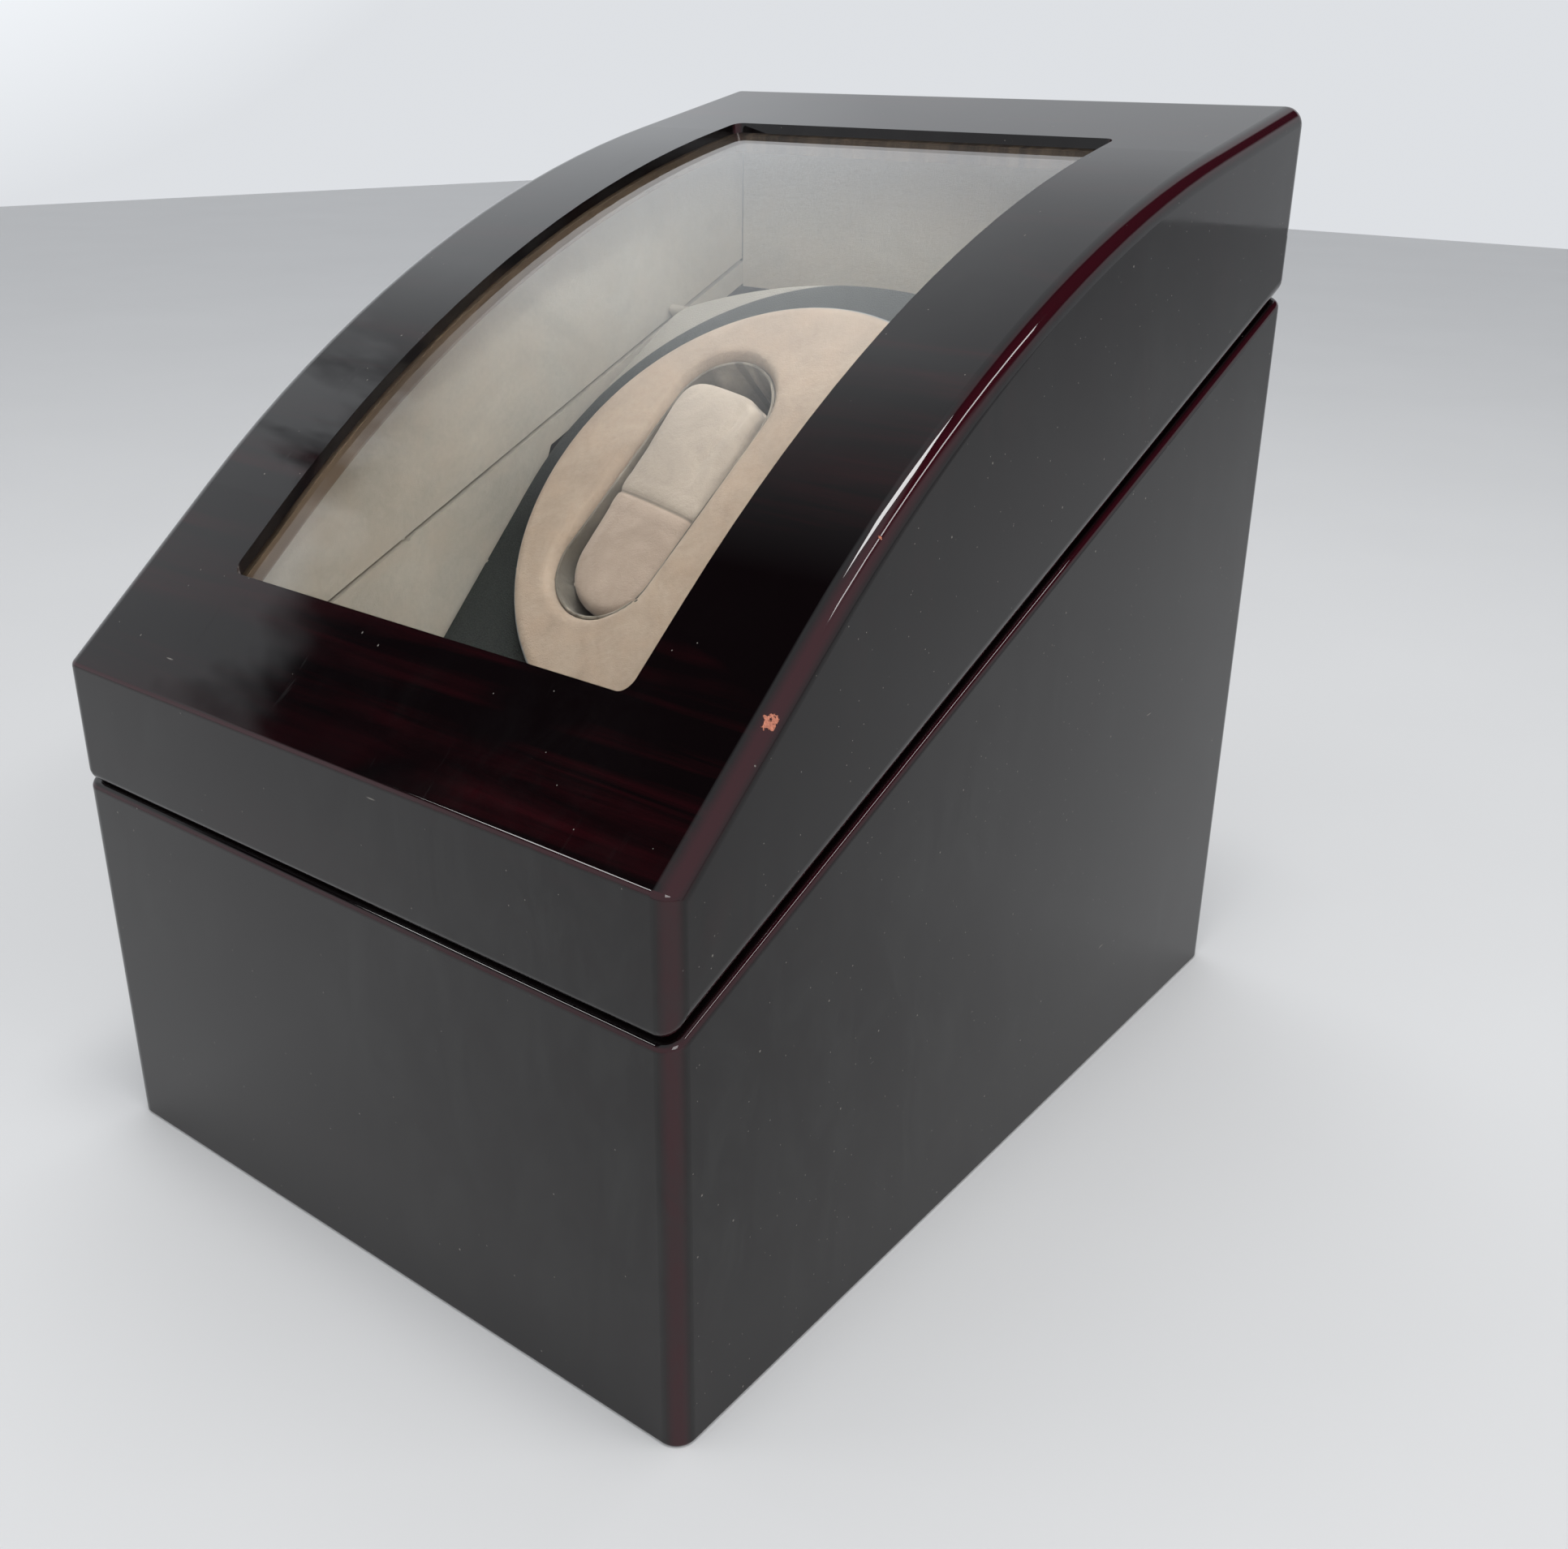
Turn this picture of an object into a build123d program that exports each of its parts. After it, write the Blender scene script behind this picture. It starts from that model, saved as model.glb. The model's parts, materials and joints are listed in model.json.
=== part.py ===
from build123d import *
from math import acos, atan, cos, degrees, hypot, pi, radians, sin, tan
import os

# Watch winder box. Millimetres, +Z up, front at -Y, right side at +X.
# The origin is on the surface the box stands on, under the middle of the base.

# ---- driving dimensions: case ----
width = 200.0            # outside width, X
depth = 266.7            # outside depth, Y
wall = 10.0              # lacquered case wall
rim_front = 100.5        # height of the base at the front
rim_back = 216.4         # height of the base at the back
lid_front = 133.4        # height of the closed lid at the front
lid_back = 267.0         # height of the closed lid at the back
parting = 0.6            # gap between lid and base
corner_r = 5.0           # rounding of the outside corners and the top edges
parting_r = 2.0          # rounding along the parting line
front_slope = 40.5       # slope of the lid top where it starts, degrees
front_flat = 58.0        # length of the straight part of the lid top at the front
back_slope = 12.4        # slope of the lid top where it ends, degrees
back_flat = 55.1         # length of the straight part of the lid top at the back
top_board = 10.2         # thickness of the lid top
lining = 2.0             # suede-covered lining board

# ---- driving dimensions: window ----
window_half_x = 65.0
window_front_y = -106.1
window_back_y = 88.4
window_corner_r = 3.0
lip = 2.7                # frame left above the glass
glass = 3.0
glass_lap = 7.0          # how far the glass reaches under the frame
rebate_play = 0.2        # gap round the glass in its rebate

# ---- driving dimensions: winder ----
tilt = 46.0              # slope of the turntable, degrees
table_y = 6.4            # middle of the turntable's face
table_z = 158.8
table_r = 70.8
parked_turn = -10.2      # angle at which the turntable is parked, degrees
pocket_length = 90.4
pocket_width = 36.0
pocket_offset = 29.2     # middle of the turntable to the middle of a pocket
pocket_depth = 43.0
facing = 1.2             # suede facing of the turntable
facing_r = 70.0
flange = 5.0             # rim plate of the turntable moulding
drum_r = 64.0
drum_depth = 50.0
deck_drop = 11.0         # turntable face to the deck's top
deck = 6.0
deck_hole_r = 67.5
bracket_drop = 58.0      # turntable face to the top of the motor bracket
gear_module = 1.0
table_teeth = 60
pinion_teeth = 15

# ---- worked out ----
half_x = width / 2
half_y = depth / 2
inner_x = half_x - wall
inner_y = half_y - wall
lined_x = inner_x - lining
lined_y = inner_y - lining
rim_slope = degrees(atan((rim_back - rim_front) / depth))
hinge_z = rim_back + parting / 2

table_plane = Plane(
    origin=(0, table_y, table_z),
    x_dir=(1, 0, 0),
    z_dir=(0, -sin(radians(tilt)), cos(radians(tilt))),
)
parked_plane = Plane(table_plane.location * Location((0, 0, 0), (0, 0, parked_turn)))
table_axis = Axis(table_plane.origin, table_plane.z_dir)
side_plane = Plane(origin=(0, 0, 0), x_dir=(0, 1, 0), z_dir=(1, 0, 0))
back_plane = Plane(origin=(0, half_y, 0), x_dir=(-1, 0, 0), z_dir=(0, 1, 0))

os.makedirs("parts", exist_ok=True)


def finish(part, name, colour):
    """Label a finished piece and write its STEP file."""
    part.label = name
    part.color = Color(*colour)
    export_step(part, "parts/" + name + ".step")


def rim_height(y, drop=0.0):
    """Height of the sloped rim at y, less a drop measured square to the rim."""
    slope = radians(rim_slope)
    return rim_front + (y + half_y) * tan(slope) - drop / cos(slope)


def table_point(up, out):
    """Y and Z of a point on the turntable's middle line: up the slope, out from the face."""
    slope = radians(tilt)
    y = table_y + up * cos(slope) - out * sin(slope)
    z = table_z + up * sin(slope) + out * cos(slope)
    return y, z


def lid_top(drop):
    """Corners of the lid top's outline, dropped square to the surface: front, arc start, mid, end, back."""
    a = radians(front_slope)
    b = radians(back_slope)
    y1 = -half_y + front_flat * cos(a)
    z1 = lid_front + front_flat * sin(a)
    y2 = half_y - back_flat * cos(b)
    z2 = lid_back - back_flat * sin(b)
    mid = (a + b) / 2
    chord = hypot(y2 - y1, z2 - z1)
    radius = chord / 2 / sin((a - b) / 2)
    cy = y1 + radius * sin(a)
    cz = z1 - radius * cos(a)
    r = radius - drop
    front_z = lid_front - drop / cos(a)
    back_z = lid_back - drop / cos(b)
    start = (cy - r * sin(a), cz + r * cos(a))
    middle = (cy - r * sin(mid), cz + r * cos(mid))
    end = (cy - r * sin(b), cz + r * cos(b))
    front = (-half_y, front_z)
    back = (half_y, back_z)
    return front, start, middle, end, back


def top_height(y, drop):
    """Height of the dropped lid top at y on its straight front or back stretch."""
    front, start, middle, end, back = lid_top(drop)
    if y < start[0]:
        return front[1] + (y + half_y) * tan(radians(front_slope))
    return back[1] - (half_y - y) * tan(radians(back_slope))


# ================= base: lacquered case =================

with BuildPart() as base_shell:
    with BuildSketch(side_plane.offset(-half_x)):
        Polygon(
            (-half_y, 0), (half_y, 0), (half_y, rim_back), (-half_y, rim_front), align=None
        )
    extrude(amount=width)
    upright = base_shell.edges().filter_by(Axis.Z)
    fillet(upright, corner_r)
    rim_face = base_shell.faces().sort_by(Axis.Z)[-1]
    fillet(rim_face.edges(), parting_r)
    floor_face = base_shell.faces().sort_by(Axis.Z)[0]
    fillet(floor_face.edges(), 1.0)
    with BuildSketch():
        Rectangle(2 * inner_x, 2 * inner_y)
    extrude(amount=lid_back, mode=Mode.SUBTRACT)

# Recess for the controls and pilot holes of the hinge screws, in the back wall.
plate_z = 58.0
plate_size = (104.0, 44.0)
plate_hole = (84.0, 28.0)
plate_thick = 2.0
plate_screws = (94.0, 34.0)
hinge_x = 60.0
hinge_length = 30.0
leaf_height = 20.0
leaf_thick = 1.5
knuckle_r = 2.75
pin_r = 1.25
pin_clearance = 0.05
hinge_y = half_y + knuckle_r
screw_rise = 13.0        # hinge axis to the screws
screw_spread = 10.0      # half the distance between a leaf's screws
screw_r = 1.2
screw_length = 8.0


def hinge_screw_places(up):
    """Places of the hinge screws on the back, above (+1) or below (-1) the hinge axis."""
    places = []
    for x in (-hinge_x, hinge_x):
        for side in (-screw_spread, screw_spread):
            places.append((x + side, hinge_z + up * screw_rise))
    return places


with BuildPart() as base_cuts:
    with BuildSketch(back_plane):
        with Locations((0, plate_z)):
            RectangleRounded(*plate_hole, 3.0)
    extrude(amount=-wall)
    with BuildSketch(back_plane.offset(-wall)):
        with Locations((0, plate_z)):
            with GridLocations(*plate_screws, 2, 2):
                Circle(screw_r)
    extrude(amount=screw_length - plate_thick)
    with BuildSketch(back_plane):
        with Locations(*hinge_screw_places(-1)):
            Circle(screw_r)
    extrude(amount=-screw_length)
with base_shell:
    add(base_cuts.part, mode=Mode.SUBTRACT)
finish(base_shell.part, "base_shell", (0.15, 0.03, 0.04))

board_low = 2.0
board = 6.0
with BuildPart() as bottom_board:
    with BuildSketch(Plane.XY.offset(board_low)):
        Rectangle(2 * inner_x, 2 * inner_y)
    extrude(amount=board)
finish(bottom_board.part, "bottom_board", (0.6, 0.45, 0.3))
board_top = board_low + board

with BuildPart() as base_felt:
    with BuildSketch():
        Rectangle(2 * inner_x - 2, 2 * inner_y - 2)
    extrude(amount=board_low)
finish(base_felt.part, "base_felt", (0.1, 0.1, 0.1))

# ================= base: suede-covered interior =================

shelf_top = 84.0
shelf = 4.0
deck_half_x = 86.5
deck_low = -88.0         # lower and upper end of the deck, along its slope
deck_high = 86.0
deck_side_high = 14.0    # above this the deck's sides lean in towards the arched top edge
deck_corner = (67.0, 70.0)
deck_corner_r = 12.0
deck_side_r = 80.0
lap = 6.0                # how far the lining reaches behind the deck's edge
back_strip = 7.0         # lining height along the rim behind the deck


def side_lining(side):
    """Lining board of one side wall, from the front wall to the back wall."""
    y_low, z_low = table_point(deck_low, -deck_drop - lap)
    y_high = 20.0
    z_high = z_low + (y_high - y_low) * tan(radians(tilt))
    with BuildPart() as board_part:
        with BuildSketch(side_plane.offset(side * inner_x if side < 0 else lined_x)):
            Polygon(
                (-lined_y, shelf_top - shelf),
                (y_low, shelf_top - shelf),
                (y_low, z_low),
                (y_high, z_high),
                (y_high + 6, rim_height(y_high + 6, back_strip)),
                (lined_y, rim_height(lined_y, back_strip)),
                (lined_y, rim_height(lined_y, 0.4)),
                (-lined_y, rim_height(-lined_y, 0.4)),
                align=None,
            )
        extrude(amount=lining)
    return board_part.part


finish(side_lining(-1), "base_lining_left", (0.85, 0.77, 0.66))
finish(side_lining(1), "base_lining_right", (0.85, 0.77, 0.66))

with BuildPart() as base_lining_front:
    with BuildSketch(side_plane.offset(-inner_x)):
        Polygon(
            (-inner_y, shelf_top - shelf),
            (-lined_y, shelf_top - shelf),
            (-lined_y, rim_height(-lined_y, 0.4)),
            (-inner_y, rim_height(-inner_y, 0.4)),
            align=None,
        )
    extrude(amount=2 * inner_x)
finish(base_lining_front.part, "base_lining_front", (0.85, 0.77, 0.66))

with BuildPart() as front_shelf:
    with BuildSketch(Plane.XY.offset(shelf_top - shelf)):
        with Locations((0, -lined_y)):
            Rectangle(2 * lined_x - 0.4, lined_y - 48.0, align=(Align.CENTER, Align.MIN))
    extrude(amount=shelf)
finish(front_shelf.part, "front_shelf", (0.85, 0.77, 0.66))

with BuildPart() as winder_deck:
    with BuildSketch(table_plane.offset(-deck_drop)):
        with BuildLine():
            Polyline(
                (-deck_corner[0], deck_corner[1]),
                (-deck_half_x, deck_side_high),
                (-deck_half_x, deck_low),
                (deck_half_x, deck_low),
                (deck_half_x, deck_side_high),
                deck_corner,
            )
            ThreePointArc(deck_corner, (0, deck_high), (-deck_corner[0], deck_corner[1]))
        make_face()
        Circle(deck_hole_r, mode=Mode.SUBTRACT)
    extrude(amount=-deck)
    side_edges = winder_deck.edges().filter_by(lambda e: abs(e.length - deck) < 0.01)
    fillet(side_edges.sort_by(Axis.Z)[-2:], deck_corner_r)
    fillet(side_edges.sort_by(Axis.Z)[-4:-2], deck_side_r)
finish(winder_deck.part, "winder_deck", (0.06, 0.06, 0.06))

# Folded board that closes the mechanism behind the deck.
cover = 3.0
cover_ridge = table_point(deck_high - 6.0, -deck_drop - deck - 9.0)
cover_fold_y = 93.0
cover_back_y = inner_y - cover
with BuildPart() as rear_cover:
    with BuildSketch(side_plane.offset(-deck_half_x)):
        with BuildLine():
            fold = Polyline(
                (cover_ridge[0] + 1.5, cover_ridge[1]),
                (cover_fold_y, rim_height(cover_fold_y, 12.0)),
                (cover_back_y, rim_height(cover_back_y, 15.0)),
            )
            offset(fold, amount=cover / 2, side=Side.BOTH)
        make_face()
    extrude(amount=2 * deck_half_x)
finish(rear_cover.part, "rear_cover", (0.85, 0.77, 0.66))

cleat = 12.0
cleat_length = 100.0
cleat_middle = -38.0
with BuildPart() as deck_cleats:
    for side in (-1, 1):
        with BuildSketch(table_plane.offset(-deck_drop - deck)):
            with Locations((side * (inner_x - cleat / 2), cleat_middle)):
                Rectangle(cleat, cleat_length)
        extrude(amount=-cleat)
finish(deck_cleats.part, "deck_cleats", (0.7, 0.55, 0.38))

# ================= turntable =================

liner_wall = 1.2
hub_r = 8.0
shaft_r = 4.0
drum_wall = 2.5
shaft_top = -18.0        # ends of the spindle, out from the turntable's face
shaft_end = -70.0
gear_top = -51.0
gear_thick = 4.0
washer_thick = 1.8


with BuildPart() as turntable_drum:
    with BuildSketch(parked_plane.offset(-facing)):
        Circle(table_r)
    extrude(amount=-flange)
    fillet(turntable_drum.edges().sort_by(table_axis)[-1], 0.6)
    with BuildSketch(parked_plane):
        with Locations((-pocket_offset, 0), (pocket_offset, 0)):
            SlotOverall(pocket_length, pocket_width, rotation=90)
    extrude(amount=-drum_depth, mode=Mode.SUBTRACT)
    with BuildSketch(parked_plane.offset(-facing - flange)):
        Circle(drum_r)
        Circle(drum_r - drum_wall, mode=Mode.SUBTRACT)
        Circle(hub_r)
    extrude(amount=-(drum_depth - facing - flange))
    with BuildSketch(parked_plane.offset(-drum_depth)):
        Circle(shaft_r)
    extrude(amount=drum_depth + shaft_top, mode=Mode.SUBTRACT)
finish(turntable_drum.part, "turntable_drum", (0.35, 0.36, 0.38))

with BuildPart() as turntable_facing:
    with BuildSketch(parked_plane):
        Circle(facing_r)
        with Locations((-pocket_offset, 0), (pocket_offset, 0)):
            SlotOverall(pocket_length, pocket_width, rotation=90, mode=Mode.SUBTRACT)
    extrude(amount=-facing)
finish(turntable_facing.part, "turntable_facing", (0.87, 0.78, 0.67))

for name, side in (("pocket_liner_left", -1), ("pocket_liner_right", 1)):
    with BuildPart() as pocket_liner:
        with BuildSketch(parked_plane.offset(-facing)):
            with Locations((side * pocket_offset, 0)):
                SlotOverall(pocket_length, pocket_width, rotation=90)
        extrude(amount=-pocket_depth)
        with BuildSketch(parked_plane.offset(-facing)):
            with Locations((side * pocket_offset, 0)):
                SlotOverall(
                    pocket_length - 2 * liner_wall, pocket_width - 2 * liner_wall, rotation=90
                )
        extrude(amount=-(pocket_depth - liner_wall), mode=Mode.SUBTRACT)
    finish(pocket_liner.part, name, (0.85, 0.77, 0.66))

with BuildPart() as turntable_spindle:
    with BuildSketch(table_plane.offset(shaft_top)):
        Circle(shaft_r)
    extrude(amount=shaft_end - shaft_top)
    chamfer(turntable_spindle.edges().sort_by(table_axis)[0], 0.5)
finish(turntable_spindle.part, "turntable_spindle", (0.75, 0.75, 0.78))


def involute(angle):
    return tan(angle) - angle


def gear_outline(teeth, turn):
    """Corner points of a spur gear's outline, with one tooth at the given angle."""
    pressure = radians(20)
    pitch_r = gear_module * teeth / 2
    base_r = pitch_r * cos(pressure)
    tip_r = pitch_r + 0.8 * gear_module
    root_r = pitch_r - 1.15 * gear_module
    backlash = 0.11 * gear_module / pitch_r
    half_pitch = pi / 2 / teeth - backlash + involute(pressure)
    half_base = half_pitch
    half_tip = half_pitch - involute(acos(base_r / tip_r))
    points = []
    for tooth in range(teeth):
        middle = radians(turn) + 2 * pi * tooth / teeth
        flanks = ((root_r, -half_base), (pitch_r, involute(pressure) - half_pitch), (tip_r, -half_tip))
        mirrored = ((tip_r, half_tip), (pitch_r, half_pitch - involute(pressure)), (root_r, half_base))
        for r, swing in flanks + mirrored:
            points.append((r * cos(middle + swing), r * sin(middle + swing)))
    return points


with BuildPart() as driven_gear:
    with BuildSketch(table_plane.offset(gear_top)):
        Polygon(*gear_outline(table_teeth, -90), align=None)
        Circle(shaft_r, mode=Mode.SUBTRACT)
        with PolarLocations(17, 6):
            Circle(5, mode=Mode.SUBTRACT)
    extrude(amount=-gear_thick)
finish(driven_gear.part, "driven_gear", (0.9, 0.9, 0.86))

with BuildPart() as thrust_washer:
    with BuildSketch(table_plane.offset(gear_top - gear_thick)):
        Circle(8)
        Circle(shaft_r, mode=Mode.SUBTRACT)
    extrude(amount=-washer_thick)
finish(thrust_washer.part, "thrust_washer", (0.9, 0.88, 0.8))

# ================= drive =================

bracket = 2.0
bracket_size = 124.0
post_spread = 104.0
post_r = 4.0
post_screw_r = 1.5
bush_r = 7.0
bush_end = -66.0
motor_down = (table_teeth + pinion_teeth) / 2 * gear_module + 0.1
pinion_shaft_r = 2.0
bracket_low = -bracket_drop - bracket

with BuildPart() as bracket_posts:
    with BuildSketch(table_plane.offset(-deck_drop - deck)):
        with GridLocations(post_spread, post_spread, 2, 2):
            Circle(post_r)
    extrude(amount=-(bracket_drop - deck_drop - deck))
    with BuildSketch(table_plane.offset(-bracket_drop)):
        with GridLocations(post_spread, post_spread, 2, 2):
            Circle(post_screw_r)
    extrude(amount=10, mode=Mode.SUBTRACT)
finish(bracket_posts.part, "bracket_posts", (0.7, 0.7, 0.72))

with BuildPart() as motor_bracket:
    with BuildSketch(table_plane.offset(-bracket_drop)):
        RectangleRounded(bracket_size, bracket_size, 8)
        Circle(bush_r, mode=Mode.SUBTRACT)
        with Locations((0, -motor_down)):
            Circle(10, mode=Mode.SUBTRACT)
        with GridLocations(post_spread, post_spread, 2, 2):
            Circle(post_screw_r, mode=Mode.SUBTRACT)
        with Locations((0, 34), (38, 0), (-38, 0)):
            Circle(14, mode=Mode.SUBTRACT)
    extrude(amount=-bracket)
finish(motor_bracket.part, "motor_bracket", (0.7, 0.7, 0.72))

with BuildPart() as bracket_screws:
    with BuildSketch(table_plane.offset(bracket_low)):
        with GridLocations(post_spread, post_spread, 2, 2):
            Circle(3)
    extrude(amount=-2)
    with BuildSketch(table_plane.offset(bracket_low)):
        with GridLocations(post_spread, post_spread, 2, 2):
            Circle(post_screw_r)
    extrude(amount=bracket + 8)
    with BuildSketch(table_plane.offset(bracket_low - 2)):
        with GridLocations(post_spread, post_spread, 2, 2):
            Rectangle(3.6, 0.8)
            Rectangle(0.8, 3.6)
    extrude(amount=1, mode=Mode.SUBTRACT)
finish(bracket_screws.part, "bracket_screws", (0.75, 0.75, 0.78))

with BuildPart() as spindle_bush:
    with BuildSketch(table_plane.offset(-bracket_drop)):
        Circle(bush_r)
    extrude(amount=bush_end + bracket_drop)
    with BuildSketch(table_plane.offset(-bracket_drop)):
        Circle(10)
    extrude(amount=1)
    with BuildSketch(table_plane.offset(-bracket_drop + 1)):
        Circle(shaft_r + pin_clearance)
    extrude(amount=-20, mode=Mode.SUBTRACT)
finish(spindle_bush.part, "spindle_bush", (0.8, 0.65, 0.3))

with BuildPart() as spindle_clip:
    with BuildSketch(table_plane.offset(bush_end - 0.3)):
        Circle(7)
        Circle(shaft_r, mode=Mode.SUBTRACT)
        with Locations((0, 6)):
            Rectangle(4, 6, mode=Mode.SUBTRACT)
    extrude(amount=-1.2)
finish(spindle_clip.part, "spindle_clip", (0.3, 0.3, 0.32))

pinion_at = Plane(table_plane.location * Location((0, -motor_down, gear_top)))
with BuildPart() as motor_pinion:
    with BuildSketch(pinion_at):
        Polygon(*gear_outline(pinion_teeth, 6), align=None)
        Circle(pinion_shaft_r, mode=Mode.SUBTRACT)
    extrude(amount=-gear_thick)
finish(motor_pinion.part, "motor_pinion", (0.8, 0.65, 0.3))

pinion_shaft_length = 17.0
with BuildPart() as pinion_shaft:
    with BuildSketch(pinion_at):
        Circle(pinion_shaft_r)
    extrude(amount=-pinion_shaft_length)
finish(pinion_shaft.part, "pinion_shaft", (0.75, 0.75, 0.78))

gearbox_size = 32.0
gearbox_height = 22.0
motor_r = 12.0
motor_height = 26.0
with BuildPart() as gearbox_case:
    with BuildSketch(table_plane.offset(bracket_low)):
        with Locations((0, -motor_down)):
            RectangleRounded(gearbox_size, gearbox_size, 3)
    extrude(amount=-gearbox_height)
    with BuildSketch(table_plane.offset(bracket_low)):
        with Locations((0, -motor_down)):
            Circle(pinion_shaft_r + pin_clearance)
    extrude(amount=-12, mode=Mode.SUBTRACT)
finish(gearbox_case.part, "gearbox_case", (0.12, 0.12, 0.13))

with BuildPart() as motor_can:
    with BuildSketch(table_plane.offset(bracket_low - gearbox_height)):
        with Locations((0, -motor_down)):
            Circle(motor_r)
    extrude(amount=-motor_height)
    fillet(motor_can.edges().sort_by(table_axis)[0], 1.5)
    with BuildSketch(table_plane.offset(bracket_low - gearbox_height - motor_height)):
        with Locations((0, -motor_down)):
            Circle(4)
    extrude(amount=-2)
finish(motor_can.part, "motor_can", (0.75, 0.75, 0.78))

# ================= cushions =================

cushion_length = 76.0
cushion_width = 31.0
cushion_thick = 33.0
cushion_lean = 4.6       # the low end sits deeper in the pocket, degrees
cushion_swing = 0.6      # the high end leans to the left, degrees
cushion_down = -3.4      # the cushion rests against the low end of its pocket
cushion_in = 0.4
cushion_top = -3.2       # middle of the cushion's top, out from the turntable's face
cushion_round = 9.0

for name, side in (("watch_cushion_left", -1), ("watch_cushion_right", 1)):
    cushion_place = Location(
        (side * pocket_offset + cushion_in, cushion_down, cushion_top),
        (cushion_lean, 0, cushion_swing),
    )
    with BuildPart() as watch_cushion:
        with BuildSketch(Plane(parked_plane.location * cushion_place)):
            SlotOverall(cushion_length, cushion_width, rotation=90)
        extrude(amount=-cushion_thick)
        ends = watch_cushion.faces().sort_by(table_axis)
        fillet(ends[-1].edges() + ends[0].edges(), cushion_round)
    finish(watch_cushion.part, name, (0.84, 0.79, 0.7))

# ================= controls in the back recess =================

panel_plane = back_plane.offset(-wall)
jack_x = -28.0
led_x = -13.0
rocker_x = 2.0
knob_x = 26.0
jack_r = 5.4
jack_bore_r = 2.75
jack_pin_r = 1.0
led_r = 2.5
rocker_hole = (13.0, 19.0)
knob_r = 8.0
knob_shaft_r = 3.0
mode_shaft_r = 2.0

with BuildPart() as control_plate:
    with BuildSketch(panel_plane):
        with Locations((0, plate_z)):
            RectangleRounded(*plate_size, 4)
            with GridLocations(*plate_screws, 2, 2):
                Circle(screw_r, mode=Mode.SUBTRACT)
        with Locations((jack_x, plate_z)):
            Circle(jack_r, mode=Mode.SUBTRACT)
        with Locations((led_x, plate_z)):
            Circle(led_r, mode=Mode.SUBTRACT)
        with Locations((rocker_x, plate_z)):
            Rectangle(*rocker_hole, mode=Mode.SUBTRACT)
        with Locations((knob_x, plate_z)):
            Circle(knob_shaft_r, mode=Mode.SUBTRACT)
    extrude(amount=-plate_thick)
finish(control_plate.part, "control_plate", (0.08, 0.08, 0.09))

with BuildPart() as plate_screws_group:
    with BuildSketch(panel_plane.offset(-plate_thick)):
        with Locations((0, plate_z)):
            with GridLocations(*plate_screws, 2, 2):
                Circle(screw_r)
    extrude(amount=screw_length)
    with BuildSketch(panel_plane.offset(-plate_thick)):
        with Locations((0, plate_z)):
            with GridLocations(*plate_screws, 2, 2):
                Circle(2.4)
    extrude(amount=-1.6)
finish(plate_screws_group.part, "plate_screws", (0.75, 0.75, 0.78))

with BuildPart() as dc_jack:
    with BuildSketch(panel_plane):
        with Locations((jack_x, plate_z)):
            Circle(7)
    extrude(amount=1.2)
    with BuildSketch(panel_plane):
        with Locations((jack_x, plate_z)):
            Circle(jack_r)
    extrude(amount=-4)
    with BuildSketch(panel_plane.offset(-4)):
        with Locations((jack_x, plate_z)):
            RectangleRounded(11, 12, 1)
    extrude(amount=-9)
    with BuildSketch(panel_plane.offset(1.2)):
        with Locations((jack_x, plate_z)):
            Circle(jack_bore_r)
            Circle(jack_pin_r, mode=Mode.SUBTRACT)
    extrude(amount=-10.2, mode=Mode.SUBTRACT)
finish(dc_jack.part, "dc_jack", (0.05, 0.05, 0.05))

with BuildPart() as power_led:
    with BuildSketch(panel_plane.offset(-4)):
        with Locations((led_x, plate_z)):
            Circle(led_r)
    extrude(amount=6.4)
    fillet(power_led.edges().sort_by(Axis.Y)[-1], 2.2)
finish(power_led.part, "power_led", (0.2, 0.7, 0.25))

rocker_well = (11.4, 17.8)
rocker_pin_r = 0.9
with BuildPart() as rocker_housing:
    with BuildSketch(panel_plane):
        with Locations((rocker_x, plate_z)):
            RectangleRounded(rocker_hole[0] + 2.4, rocker_hole[1] + 2.4, 1)
    extrude(amount=1.5)
    with BuildSketch(panel_plane):
        with Locations((rocker_x, plate_z)):
            Rectangle(*rocker_hole)
    extrude(amount=-12)
    with BuildSketch(panel_plane.offset(1.5)):
        with Locations((rocker_x, plate_z)):
            Rectangle(*rocker_well)
    extrude(amount=-6.3, mode=Mode.SUBTRACT)
    with BuildSketch(side_plane.offset(-rocker_x - 6.3)):
        with Locations((inner_y, plate_z)):
            Circle(rocker_pin_r + pin_clearance)
    extrude(amount=12.6, mode=Mode.SUBTRACT)
finish(rocker_housing.part, "rocker_housing", (0.05, 0.05, 0.05))

rocker_tilt = 11.0
with BuildPart() as power_rocker:
    with BuildSketch(side_plane.offset(-rocker_x - 5.3)):
        with Locations(Location((inner_y, plate_z), rocker_tilt)):
            Polygon((-2, -7.4), (3.2, -7.8), (1.9, 0), (3.2, 7.8), (-2, 7.4), align=None)
    extrude(amount=10.6)
    with BuildSketch(side_plane.offset(-rocker_x - 6.1)):
        with Locations((inner_y, plate_z)):
            Circle(rocker_pin_r)
    extrude(amount=12.2)
finish(power_rocker.part, "power_rocker", (0.06, 0.06, 0.06))

with BuildPart() as mode_switch:
    with BuildSketch(panel_plane.offset(-plate_thick)):
        with Locations((knob_x, plate_z)):
            RectangleRounded(16, 16, 1)
    extrude(amount=-9)
    with BuildSketch(panel_plane.offset(-plate_thick)):
        with Locations((knob_x, plate_z)):
            Circle(knob_shaft_r)
    extrude(amount=plate_thick)
    with BuildSketch(panel_plane):
        with Locations((knob_x, plate_z)):
            Circle(mode_shaft_r + pin_clearance)
    extrude(amount=-8, mode=Mode.SUBTRACT)
finish(mode_switch.part, "mode_switch", (0.3, 0.45, 0.3))

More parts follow.
